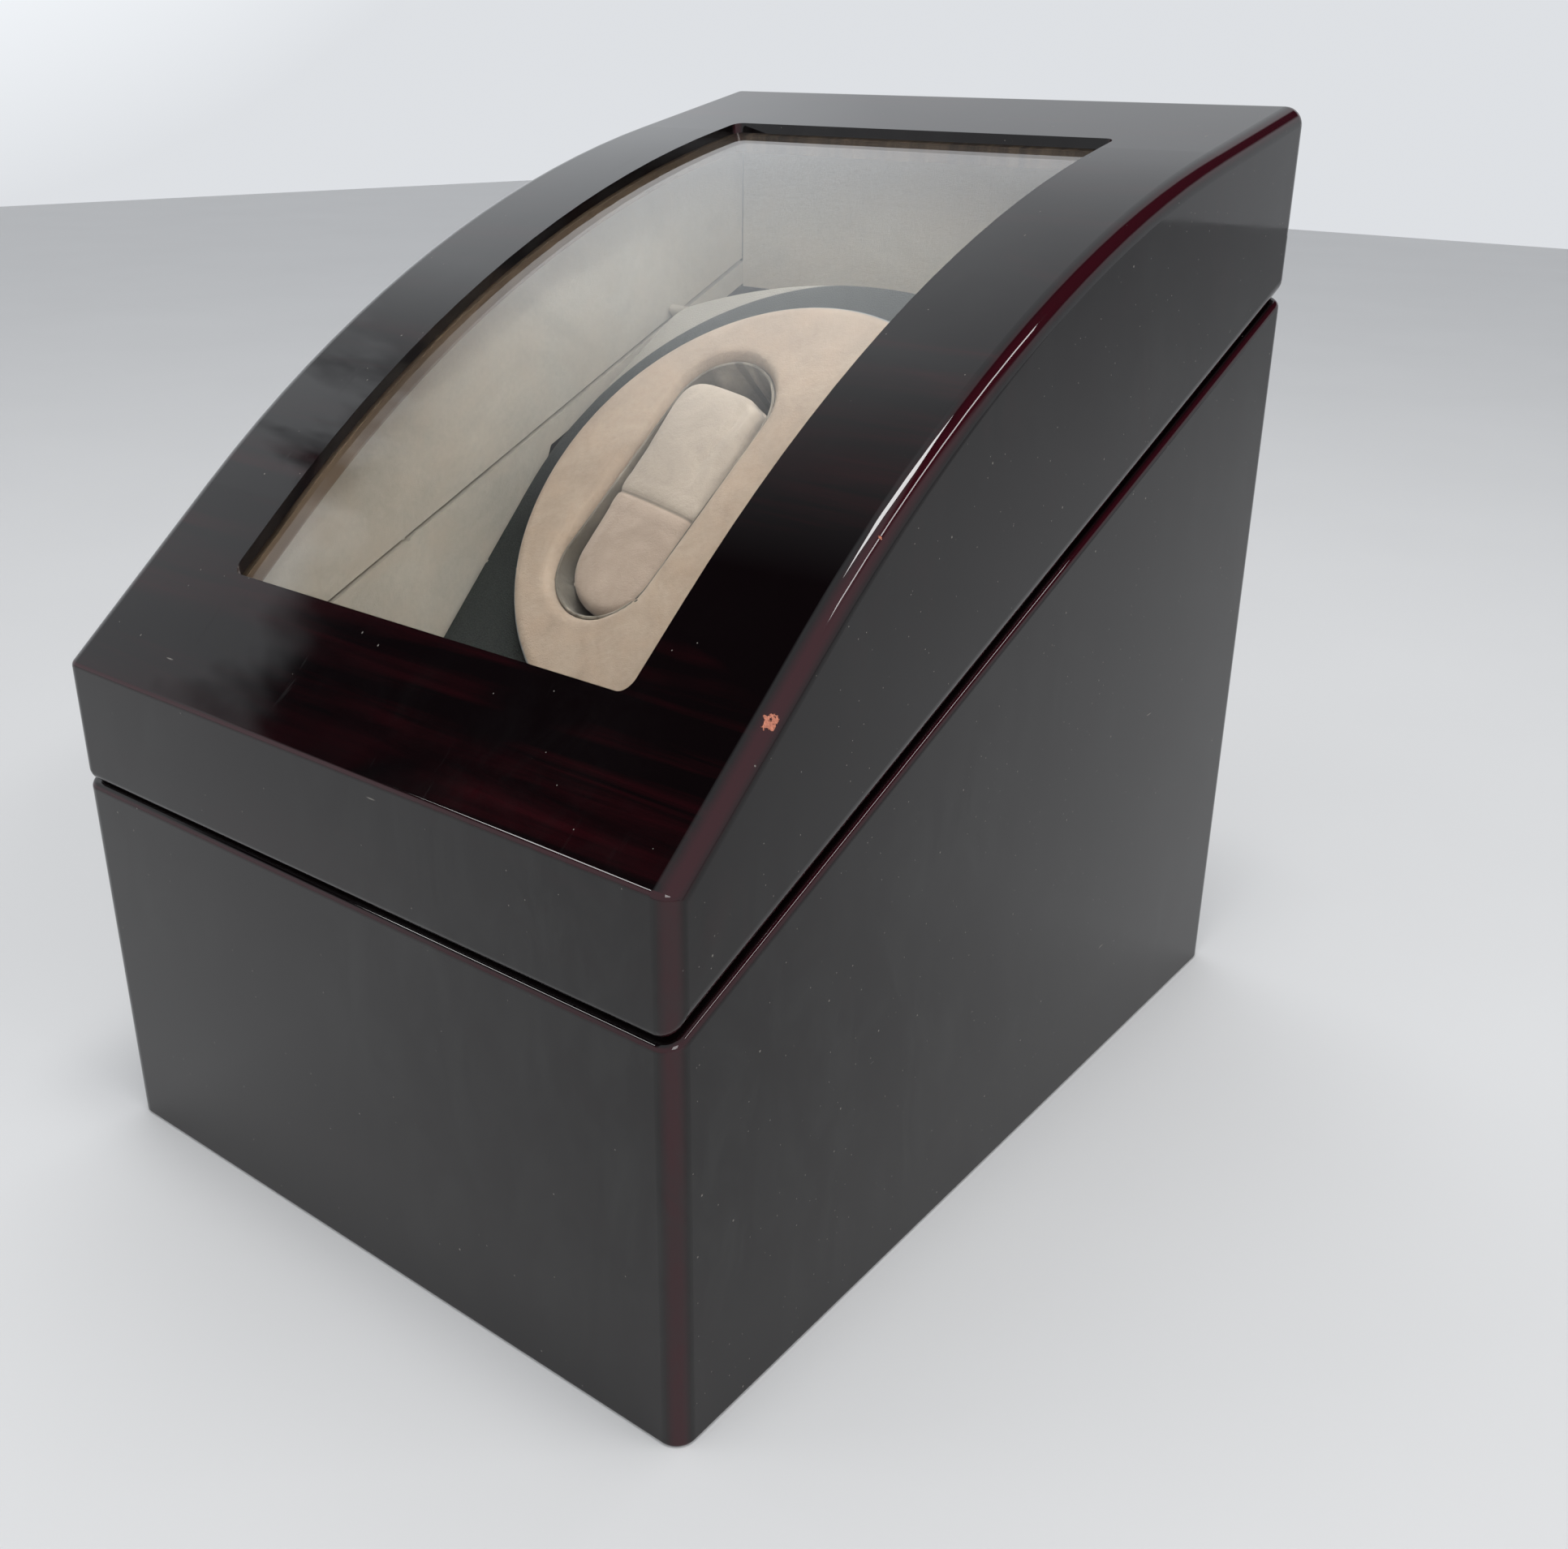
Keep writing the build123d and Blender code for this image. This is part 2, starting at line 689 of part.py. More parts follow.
knob_foot = 0.4
knob_height = 8.6
with BuildPart() as mode_shaft:
    with BuildSketch(panel_plane.offset(-7)):
        with Locations((knob_x, plate_z)):
            Circle(mode_shaft_r)
    extrude(amount=12)
finish(mode_shaft.part, "mode_shaft", (0.75, 0.75, 0.78))

with BuildPart() as mode_knob:
    with BuildSketch(panel_plane.offset(knob_foot)):
        with Locations((knob_x, plate_z)):
            Circle(knob_r)
            with PolarLocations(knob_r + 0.4, 18):
                Circle(0.8, mode=Mode.SUBTRACT)
    extrude(amount=knob_height)
    with BuildSketch(panel_plane.offset(knob_foot + knob_height)):
        with Locations((knob_x, plate_z + knob_r / 2)):
            Rectangle(1, knob_r - 1)
    extrude(amount=-0.6, mode=Mode.SUBTRACT)
    with BuildSketch(panel_plane.offset(knob_foot)):
        with Locations((knob_x, plate_z)):
            Circle(mode_shaft_r)
    extrude(amount=5 - knob_foot, mode=Mode.SUBTRACT)
finish(mode_knob.part, "mode_knob", (0.08, 0.08, 0.08))

board_x = -30.0
board_y = 66.0
board_size = (74.0, 46.0)
board_holes = (66.0, 38.0)
standoff = 7.0
with BuildPart() as board_standoffs:
    with BuildSketch(Plane.XY.offset(board_top)):
        with Locations((board_x, board_y)):
            with GridLocations(*board_holes, 2, 2):
                Circle(3)
    extrude(amount=standoff)
    with BuildSketch(Plane.XY.offset(board_top + standoff)):
        with Locations((board_x, board_y)):
            with GridLocations(*board_holes, 2, 2):
                Circle(1.4)
    extrude(amount=3)
finish(board_standoffs.part, "board_standoffs", (0.9, 0.9, 0.86))

board_face = board_top + standoff
with BuildPart() as circuit_board:
    with BuildSketch(Plane.XY.offset(board_face)):
        with Locations((board_x, board_y)):
            Rectangle(*board_size)
            with GridLocations(*board_holes, 2, 2):
                Circle(1.4, mode=Mode.SUBTRACT)
    extrude(amount=1.6)
    with BuildSketch(Plane.XY.offset(board_face + 1.6)):
        with Locations((board_x - 12, board_y)):
            Rectangle(9, 22)
        with Locations((board_x + 8, board_y + 10), (board_x + 8, board_y - 10)):
            Rectangle(7, 5)
        with Locations((board_x + 24, board_y)):
            Circle(4)
    extrude(amount=3.4)
finish(circuit_board.part, "circuit_board", (0.05, 0.35, 0.15))

# ================= lid =================


def lid_outline(drop):
    """Draw the lid top's line, dropped square to the surface, from the front to the back."""
    front, start, middle, end, back = lid_top(drop)
    Line(front, start)
    ThreePointArc(start, middle, end)
    Line(end, back)
    return front, back


def top_band(outer, inner, half_across, y_from, y_to):
    """Strip that follows the lid top between two drops, cut square at both ends."""
    with BuildPart() as band:
        with BuildSketch(side_plane.offset(-half_across)):
            with BuildLine():
                front, start, middle, end, back = lid_top(outer)
                low_front, low_start, low_middle, low_end, low_back = lid_top(inner)
                Line(front, start)
                ThreePointArc(start, middle, end)
                Line(end, back)
                Line(back, low_back)
                Line(low_back, low_end)
                ThreePointArc(low_end, low_middle, low_start)
                Line(low_start, low_front)
                Line(low_front, front)
            make_face()
        extrude(amount=2 * half_across)
        with BuildSketch():
            with Locations((0, (y_from + y_to) / 2)):
                Rectangle(2 * half_across, y_to - y_from)
        extrude(amount=lid_back, mode=Mode.INTERSECT)
    return band.part


glass_x = window_half_x + glass_lap
glass_front = window_front_y - glass_lap
glass_back = window_back_y + glass_lap
window_mid = (window_front_y + window_back_y) / 2
window_length = window_back_y - window_front_y
rebate = top_band(
    lip,
    top_board + 1,
    glass_x + rebate_play,
    glass_front - rebate_play,
    glass_back + rebate_play,
)

with BuildPart() as lid_shell:
    with BuildSketch(side_plane.offset(-half_x)):
        with BuildLine():
            front, back = lid_outline(0)
            Line(back, (half_y, rim_back + parting))
            Line((half_y, rim_back + parting), (-half_y, rim_front + parting))
            Line((-half_y, rim_front + parting), front)
        make_face()
    extrude(amount=width)
    upright = lid_shell.edges().filter_by(Axis.Z)
    rim_side = lid_shell.faces().sort_by(Axis.Z)[0]
    rim_edges = rim_side.edges()
    top_edges = lid_shell.edges() - upright - rim_edges
    across = top_edges.filter_by(Axis.X).filter_by(
        lambda e: abs(abs(e.center().Y) - half_y) < 0.1
    )
    along = top_edges.filter_by(lambda e: abs(abs(e.center().X) - half_x) < 0.1)
    fillet(upright + across + along, corner_r)
    under = lid_shell.faces().sort_by(Axis.Z)[0]
    fillet(under.edges(), parting_r)
    with BuildSketch(side_plane.offset(-inner_x)):
        with BuildLine():
            front, start, middle, end, back = lid_top(top_board)
            front_in = (-inner_y, top_height(-inner_y, top_board))
            back_in = (inner_y, top_height(inner_y, top_board))
            Line(front_in, start)
            ThreePointArc(start, middle, end)
            Line(end, back_in)
            Line(back_in, (inner_y, 0))
            Line((inner_y, 0), (-inner_y, 0))
            Line((-inner_y, 0), front_in)
        make_face()
    extrude(amount=2 * inner_x, mode=Mode.SUBTRACT)
    with BuildSketch():
        with Locations((0, window_mid)):
            RectangleRounded(2 * window_half_x, window_length, window_corner_r)
    extrude(amount=lid_back + 10, mode=Mode.SUBTRACT)
with BuildPart() as lid_cuts:
    with BuildSketch(back_plane):
        with Locations(*hinge_screw_places(1)):
            Circle(screw_r)
    extrude(amount=-screw_length)
with lid_shell:
    add(rebate, mode=Mode.SUBTRACT)
    add(lid_cuts.part, mode=Mode.SUBTRACT)
finish(lid_shell.part, "lid_shell", (0.15, 0.03, 0.04))


finish(
    top_band(lip, lip + glass, glass_x, glass_front, glass_back), "window_glass", (0.8, 0.9, 0.9, 0.3)
)

for name, x_from, x_to in (
    ("glass_bead_left", -glass_x, -window_half_x),
    ("glass_bead_right", window_half_x, glass_x),
):
    with BuildPart() as side_bead:
        add(top_band(lip + glass, top_board, glass_x, glass_front, glass_back))
        with BuildSketch():
            with Locations(((x_from + x_to) / 2, window_mid)):
                Rectangle(x_to - x_from, glass_back - glass_front)
        extrude(amount=lid_back, mode=Mode.INTERSECT)
    finish(side_bead.part, name, (0.45, 0.33, 0.22))

for name, y_from, y_to in (
    ("glass_bead_front", glass_front, window_front_y),
    ("glass_bead_back", window_back_y, glass_back),
):
    bead_bar = top_band(lip + glass, top_board, window_half_x, y_from, y_to)
    finish(bead_bar, name, (0.45, 0.33, 0.22))

lid_low = parting + 0.4  # lower edge of the lid's lining above the base's rim


def lid_side_lining(side):
    """Lining board of one side wall of the lid."""
    with BuildPart() as board_part:
        with BuildSketch(side_plane.offset(-inner_x if side < 0 else lined_x)):
            with BuildLine():
                front, start, middle, end, back = lid_top(top_board + 0.1)
                front_in = (-lined_y, top_height(-lined_y, top_board + 0.1))
                back_in = (lined_y - 1, top_height(lined_y - 1, top_board + 0.1))
                low_back = (lined_y - 1, rim_height(lined_y - 1) + lid_low)
                low_front = (-lined_y, rim_height(-lined_y) + lid_low)
                Line(front_in, start)
                ThreePointArc(start, middle, end)
                Line(end, back_in)
                Line(back_in, low_back)
                Line(low_back, low_front)
                Line(low_front, front_in)
            make_face()
        extrude(amount=lining)
    return board_part.part


finish(lid_side_lining(-1), "lid_lining_left", (0.85, 0.77, 0.66))
finish(lid_side_lining(1), "lid_lining_right", (0.85, 0.77, 0.66))

with BuildPart() as lid_lining_front:
    with BuildSketch(side_plane.offset(-inner_x)):
        Polygon(
            (-inner_y, rim_height(-inner_y) + lid_low),
            (-lined_y, rim_height(-lined_y) + lid_low),
            (-lined_y, top_height(-lined_y, top_board + 0.1)),
            (-inner_y, top_height(-inner_y, top_board + 0.1)),
            align=None,
        )
    extrude(amount=2 * inner_x)
finish(lid_lining_front.part, "lid_lining_front", (0.85, 0.77, 0.66))

flap_z = 202.5           # the back lining hangs below the rim and covers the joint
with BuildPart() as lid_lining_back:
    with BuildSketch(side_plane.offset(-lined_x + 0.4)):
        Polygon(
            (lined_y - 1, flap_z),
            (inner_y - 1, flap_z),
            (inner_y - 1, rim_height(inner_y) + 2),
            (inner_y, rim_height(inner_y) + 2),
            (inner_y, top_height(inner_y, top_board + 0.1)),
            (lined_y - 1, top_height(lined_y - 1, top_board + 0.1)),
            align=None,
        )
    extrude(amount=2 * lined_x - 0.8)
finish(lid_lining_back.part, "lid_lining_back", (0.85, 0.77, 0.66))

# ================= hinges =================

knuckles = 5
knuckle = hinge_length / knuckles
knuckle_gap = 0.2


def hinge_half(up):
    """Both leaves above (+1) or below (-1) the pins, with their knuckles."""
    with BuildPart() as leaves:
        for x in (-hinge_x, hinge_x):
            with BuildSketch(back_plane):
                with Locations((-x, hinge_z + up * (leaf_height / 2 + 0.3))):
                    Rectangle(hinge_length, leaf_height)
            extrude(amount=leaf_thick)
            first = 1 if up > 0 else 0
            for number in range(first, knuckles, 2):
                start_x = x - hinge_length / 2 + number * knuckle + knuckle_gap / 2
                with BuildSketch(side_plane.offset(start_x)):
                    with Locations((hinge_y, hinge_z)):
                        Circle(knuckle_r)
                    with Locations((half_y + leaf_thick / 2, hinge_z + up * knuckle_r / 2)):
                        Rectangle(leaf_thick, knuckle_r)
                extrude(amount=knuckle - knuckle_gap)
            with BuildSketch(side_plane.offset(x - hinge_length / 2)):
                with Locations((hinge_y, hinge_z)):
                    Circle(pin_r + (pin_clearance if up > 0 else 0))
            extrude(amount=hinge_length, mode=Mode.SUBTRACT)
            for number in range(1 - first, knuckles, 2):
                start_x = x - hinge_length / 2 + number * knuckle - knuckle_gap / 2
                with BuildSketch(side_plane.offset(start_x)):
                    with Locations((hinge_y, hinge_z)):
                        Circle(knuckle_r + 0.3)
                extrude(amount=knuckle + knuckle_gap, mode=Mode.SUBTRACT)
        with BuildSketch(back_plane):
            with Locations(*hinge_screw_places(up)):
                Circle(screw_r)
        extrude(amount=leaf_thick, mode=Mode.SUBTRACT)
    return leaves.part


finish(hinge_half(-1), "hinge_base_leaves", (0.8, 0.65, 0.3))
finish(hinge_half(1), "hinge_lid_leaves", (0.8, 0.65, 0.3))

with BuildPart() as hinge_pins:
    for x in (-hinge_x, hinge_x):
        with BuildSketch(side_plane.offset(x - hinge_length / 2 - 0.5)):
            with Locations((hinge_y, hinge_z)):
                Circle(pin_r)
        extrude(amount=hinge_length + 1)
finish(hinge_pins.part, "hinge_pins", (0.8, 0.65, 0.3))


def hinge_screws(up):
    """Screws of the leaves above (+1) or below (-1) the pins."""
    with BuildPart() as screws:
        with BuildSketch(back_plane.offset(leaf_thick)):
            with Locations(*hinge_screw_places(up)):
                Circle(2.4)
        extrude(amount=1.0)
        with BuildSketch(back_plane.offset(leaf_thick)):
            with Locations(*hinge_screw_places(up)):
                Circle(screw_r)
        extrude(amount=-screw_length)
        with BuildSketch(back_plane.offset(leaf_thick + 1.0)):
            with Locations(*hinge_screw_places(up)):
                Rectangle(3.4, 0.6)
                Rectangle(0.6, 3.4)
        extrude(amount=-0.6, mode=Mode.SUBTRACT)
    return screws.part


finish(hinge_screws(-1), "hinge_base_screws", (0.8, 0.65, 0.3))
finish(hinge_screws(1), "hinge_lid_screws", (0.8, 0.65, 0.3))

# Small clear dots on the base's front rim, which the lid comes down on.
dot_r = 3.0
dot_x = 80.0
dot_y = -half_y + 5.0
with BuildPart() as lid_dots:
    for x in (-dot_x, dot_x):
        rim_plane = Plane(
            origin=(x, dot_y, rim_height(dot_y)),
            x_dir=(1, 0, 0),
            z_dir=(0, -sin(radians(rim_slope)), cos(radians(rim_slope))),
        )
        with BuildSketch(rim_plane):
            Circle(dot_r)
        extrude(amount=0.45)
finish(lid_dots.part, "lid_dots", (0.8, 0.8, 0.8))
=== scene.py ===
import json
import math

import bpy
from mathutils import Matrix, Vector


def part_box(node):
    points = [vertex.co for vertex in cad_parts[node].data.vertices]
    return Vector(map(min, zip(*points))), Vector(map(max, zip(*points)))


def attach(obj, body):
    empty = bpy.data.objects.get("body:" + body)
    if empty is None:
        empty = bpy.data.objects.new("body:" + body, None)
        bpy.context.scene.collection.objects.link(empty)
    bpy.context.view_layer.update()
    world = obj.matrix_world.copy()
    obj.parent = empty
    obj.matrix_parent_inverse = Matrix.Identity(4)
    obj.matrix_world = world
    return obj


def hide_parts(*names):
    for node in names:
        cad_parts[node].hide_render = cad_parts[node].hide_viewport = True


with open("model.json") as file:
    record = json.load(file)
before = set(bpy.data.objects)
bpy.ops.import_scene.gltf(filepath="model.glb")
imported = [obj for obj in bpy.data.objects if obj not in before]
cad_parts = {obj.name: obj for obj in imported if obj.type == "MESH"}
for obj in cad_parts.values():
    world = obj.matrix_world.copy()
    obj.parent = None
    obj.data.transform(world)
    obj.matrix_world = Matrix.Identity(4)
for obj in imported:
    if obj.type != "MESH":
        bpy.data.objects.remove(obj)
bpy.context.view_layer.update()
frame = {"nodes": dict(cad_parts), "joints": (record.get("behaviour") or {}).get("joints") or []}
nodes = frame["nodes"]

# ---- Case and lid: the lacquered shells ----
# Boards of about 10 mm, veneered, stained dark burgundy and built up with a thick polyester lacquer
# that is buffed to a mirror. The rounded edges are painted a brighter red, as painted light on the
# edges, and the right top edge has a chip and a nick that go down to the wood.
case_low, case_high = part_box("base_shell")
chip_place = (case_high.x - 0.0015, case_low.y + 0.0308, 0.1582)
nick_place = (case_high.x - 0.0012, case_low.y + 0.0658, 0.1870)
chip_reach = 0.0022
nick_reach = 0.0009


def new_finish(name, colour, roughness, metallic=0.0):
    """Starts a finish on its own Principled shader, with the constant values on its sockets."""
    finish = bpy.data.materials.new(name)
    finish.use_nodes = True
    tree = finish.node_tree
    shader = tree.nodes["Principled BSDF"]
    shader.inputs["Base Color"].default_value = (*colour, 1.0)
    shader.inputs["Roughness"].default_value = roughness
    shader.inputs["Metallic"].default_value = metallic
    return finish, tree, shader


def place(tree, stretch=(1.0, 1.0, 1.0), turn=(0.0, 0.0, 0.0)):
    """Surface position in metres, stretched and turned for a pattern."""
    where = tree.nodes.new("ShaderNodeTexCoord")
    mapping = tree.nodes.new("ShaderNodeMapping")
    mapping.inputs["Scale"].default_value = stretch
    mapping.inputs["Rotation"].default_value = turn
    tree.links.new(where.outputs["Object"], mapping.inputs["Vector"])
    return mapping.outputs["Vector"]


def cloud(tree, where, scale, detail=4.0, roughness=0.55, distortion=0.0):
    """Noise between 0 and 1 with about that many blotches a metre."""
    node = tree.nodes.new("ShaderNodeTexNoise")
    node.inputs["Scale"].default_value = scale
    node.inputs["Detail"].default_value = detail
    node.inputs["Roughness"].default_value = roughness
    node.inputs["Distortion"].default_value = distortion
    tree.links.new(where, node.inputs["Vector"])
    return node.outputs["Fac"]


def span(tree, value, low, high, to_low=0.0, to_high=1.0):
    """Stretches value from low..high to to_low..to_high, clamped."""
    node = tree.nodes.new("ShaderNodeMapRange")
    node.inputs["From Min"].default_value = low
    node.inputs["From Max"].default_value = high
    node.inputs["To Min"].default_value = to_low
    node.inputs["To Max"].default_value = to_high
    tree.links.new(value, node.inputs["Value"])
    return node.outputs["Result"]


def sums(tree, kind, first, second=None):
    """One sum on values or plain numbers."""
    node = tree.nodes.new("ShaderNodeMath")
    node.operation = kind
    for number, term in enumerate((first, second)):
        if isinstance(term, (int, float)):
            node.inputs[number].default_value = term
        elif term is not None:
            tree.links.new(term, node.inputs[number])
    return node.outputs["Value"]


def blend_colours(tree, share, first, second, kind="MIX"):
    """Colour that goes from first to second as share goes from 0 to 1."""
    node = tree.nodes.new("ShaderNodeMix")
    node.data_type = "RGBA"
    node.blend_type = kind
    tree.links.new(share, node.inputs[0])
    for socket, colour in ((6, first), (7, second)):
        if isinstance(colour, tuple):
            node.inputs[socket].default_value = (*colour, 1.0)
        else:
            tree.links.new(colour, node.inputs[socket])
    return node.outputs[2]


def raise_surface(tree, shader, height, distance, strength=1.0):
    """Bump from a height between 0 and 1, of that depth in metres."""
    node = tree.nodes.new("ShaderNodeBump")
    node.inputs["Strength"].default_value = strength
    node.inputs["Distance"].default_value = distance
    tree.links.new(height, node.inputs["Height"])
    tree.links.new(node.outputs["Normal"], shader.inputs["Normal"])


def near(tree, centre, radius):
    """1 inside a ball about centre, falling to 0 at its radius."""
    where = tree.nodes.new("ShaderNodeTexCoord")
    distance = tree.nodes.new("ShaderNodeVectorMath")
    distance.operation = "DISTANCE"
    distance.inputs[1].default_value = centre
    tree.links.new(where.outputs["Object"], distance.inputs[0])
    return span(tree, distance.outputs["Value"], radius, radius * 0.5)


def specks(tree, where, scale, size, share):
    """Small scattered grains: 1 on a grain. Share is the part of the cells that has one."""
    cells = tree.nodes.new("ShaderNodeTexVoronoi")
    cells.inputs["Scale"].default_value = scale
    tree.links.new(where, cells.inputs["Vector"])
    chosen = tree.nodes.new("ShaderNodeSeparateXYZ")
    tree.links.new(cells.outputs["Color"], chosen.inputs["Vector"])
    grain = span(tree, cells.outputs["Distance"], size, size * 0.5)
    picked = sums(tree, "LESS_THAN", chosen.outputs["X"], share)
    return sums(tree, "MULTIPLY", grain, picked)


def facing_parts(tree):
    """X, Y and Z of the way the surface faces."""
    facing = tree.nodes.new("ShaderNodeTexCoord")
    parts = tree.nodes.new("ShaderNodeSeparateXYZ")
    tree.links.new(facing.outputs["Normal"], parts.inputs["Vector"])
    return parts.outputs["X"], parts.outputs["Y"], parts.outputs["Z"]


def paint(finish, *names):
    """Gives a finish to whole CAD nodes."""
    for name in names:
        piece = nodes[name]
        piece.data.materials.clear()
        piece.data.materials.append(finish)


def lacquer_finish(name, grain_turn, streak_colour):
    """Dark burgundy piano lacquer, with the veneer's grain running along X or along Y."""
    finish, tree, shader = new_finish(name, (0.01, 0.002, 0.003), 0.03)
    east, north, above = facing_parts(tree)

    # the veneer's grain, which shows most on top
    streaks = cloud(tree, place(tree, (5.0, 150.0, 60.0), grain_turn), 1.0, 6.0, 0.62, 0.5)
    figure = cloud(tree, place(tree, (9.0, 26.0, 26.0), grain_turn), 1.0, 3.0, 0.5, 1.2)
    grain = sums(tree, "MULTIPLY", span(tree, streaks, 0.46, 0.74), span(tree, figure, 0.44, 0.66))
    grain = sums(tree, "MULTIPLY", grain, span(tree, above, 0.3, 0.7, 0.25, 1.0))
    body = blend_colours(tree, grain, (0.0022, 0.0010, 0.0012), streak_colour)

    # a brighter red painted on the rounded side edges and the front edge, picked by the way the surface
    # faces: painted light on the edges
    across = sums(tree, "MULTIPLY", east, east)
    side_edge = span(tree, sums(tree, "MULTIPLY", across, sums(tree, "SUBTRACT", 1.0, across)), 0.03, 0.22)
    front_edge = sums(tree, "MULTIPLY", span(tree, above, 0.12, 0.3), span(tree, above, 0.7, 0.55))
    front_edge = sums(tree, "MULTIPLY", front_edge, span(tree, north, -0.3, -0.6))
    edge_light = sums(tree, "MAXIMUM", side_edge, front_edge)
    body = blend_colours(tree, edge_light, body, (0.026, 0.0026, 0.0052))

    # a film of handling marks on the sides
    film = span(tree, cloud(tree, place(tree, (1.0, 1.0, 0.45)), 70.0, 6.0, 0.7, 0.8), 0.42, 0.7, 0.0, 0.8)
    film = sums(tree, "MULTIPLY", film, span(tree, cloud(tree, place(tree), 9.0, 3.0, 0.5), 0.38, 0.62))
    film = sums(tree, "MULTIPLY", film, span(tree, above, 0.5, 0.2, 0.25, 1.0))
    body = blend_colours(tree, film, body, (0.012, 0.0116, 0.0112))

    # coarse and fine dust, and short lint that lies two ways
    dust = specks(tree, place(tree), 150.0, 0.05, 0.2)
    dust = sums(tree, "MAXIMUM", dust, specks(tree, place(tree), 420.0, 0.08, 0.08))
    for stretch, turned in (((1.0, 0.14, 1.0), (0.3, 0.2, 0.6)), ((0.14, 1.0, 1.0), (0.2, -0.4, 0.3))):
        lint = specks(tree, place(tree, stretch, turned), 190.0, 0.045, 0.12)
        dust = sums(tree, "MAXIMUM", dust, lint)
    body = blend_colours(tree, sums(tree, "MULTIPLY", dust, 0.55), body, (0.30, 0.28, 0.25))

    # bare wood in the chip and the nick
    wood = sums(tree, "MAXIMUM", near(tree, chip_place, chip_reach), near(tree, nick_place, nick_reach))
    ragged = span(tree, cloud(tree, place(tree), 700.0, 3.0, 0.75), 0.3, 0.7, -0.9, 0.5)
    bare = span(tree, sums(tree, "ADD", wood, ragged), 0.35, 0.5)
    bare = sums(tree, "MULTIPLY", bare, span(tree, wood, 0.0, 0.04))
    bare_wood = blend_colours(tree, cloud(tree, place(tree), 2600.0), (0.10, 0.02, 0.015), (0.75, 0.28, 0.17))
    body = blend_colours(tree, bare, body, bare_wood)
    tree.links.new(body, shader.inputs["Base Color"])

    # polish with smears and fine wiping lines, a little duller on the right side
    smear = span(tree, cloud(tree, place(tree), 26.0, 5.0, 0.6), 0.42, 0.72, 0.02, 0.075)
    hairs = cloud(tree, place(tree, (260.0, 9.0, 60.0), (0.3, 0.5, 0.9)), 1.0, 3.0, 0.6, 0.6)
    smear = sums(tree, "ADD", smear, span(tree, hairs, 0.66, 0.72, 0.0, 0.09))
    rough = sums(tree, "MAXIMUM", smear, sums(tree, "MULTIPLY", sums(tree, "MAXIMUM", bare, dust), 0.7))
    tree.links.new(rough, shader.inputs["Roughness"])
    tree.links.new(span(tree, east, 0.9, 0.99, 0.5, 0.4), shader.inputs["Specular IOR Level"])
    ripple = cloud(tree, place(tree), 14.0, 2.0, 0.4)
    relief = sums(tree, "SUBTRACT", sums(tree, "MULTIPLY", ripple, 0.22), sums(tree, "MULTIPLY", bare, 0.9))
    raise_surface(tree, shader, relief, 0.0005)
    shader.inputs["IOR"].default_value = 1.45
    return finish


paint(lacquer_finish("burgundy_lacquer_lid", (0.0, 0.0, 0.0), (0.022, 0.0022, 0.0036)), "lid_shell")
paint(lacquer_finish("burgundy_lacquer_case", (0.0, 0.0, math.pi / 2), (0.008, 0.0016, 0.0022)), "base_shell")

# ---- Underside ----
# A bare fibreboard bottom let in between the walls, with black felt glued over it so that the box
# doesn't scratch what it stands on. The battens under the deck are cut from the same board.
board, tree, shader = new_finish("fibreboard", (0.33, 0.22, 0.13), 0.85)
fibres = cloud(tree, place(tree, (1.0, 1.0, 3.0)), 420.0, 5.0, 0.7)
tone = blend_colours(tree, span(tree, fibres, 0.3, 0.7), (0.25, 0.165, 0.095), (0.40, 0.28, 0.17))
tree.links.new(tone, shader.inputs["Base Color"])
raise_surface(tree, shader, fibres, 0.0002)
paint(board, "bottom_board", "deck_cleats")

felt, tree, shader = new_finish("black_felt", (0.02, 0.02, 0.02), 1.0)
lint = cloud(tree, place(tree), 1100.0, 5.0, 0.75, 1.5)
tree.links.new(
    blend_colours(tree, span(tree, lint, 0.4, 0.75), (0.012, 0.012, 0.013), (0.06, 0.058, 0.055)),
    shader.inputs["Base Color"],
)
raise_surface(tree, shader, lint, 0.0004)
shader.inputs["Sheen Weight"].default_value = 0.2
paint(felt, "base_felt")


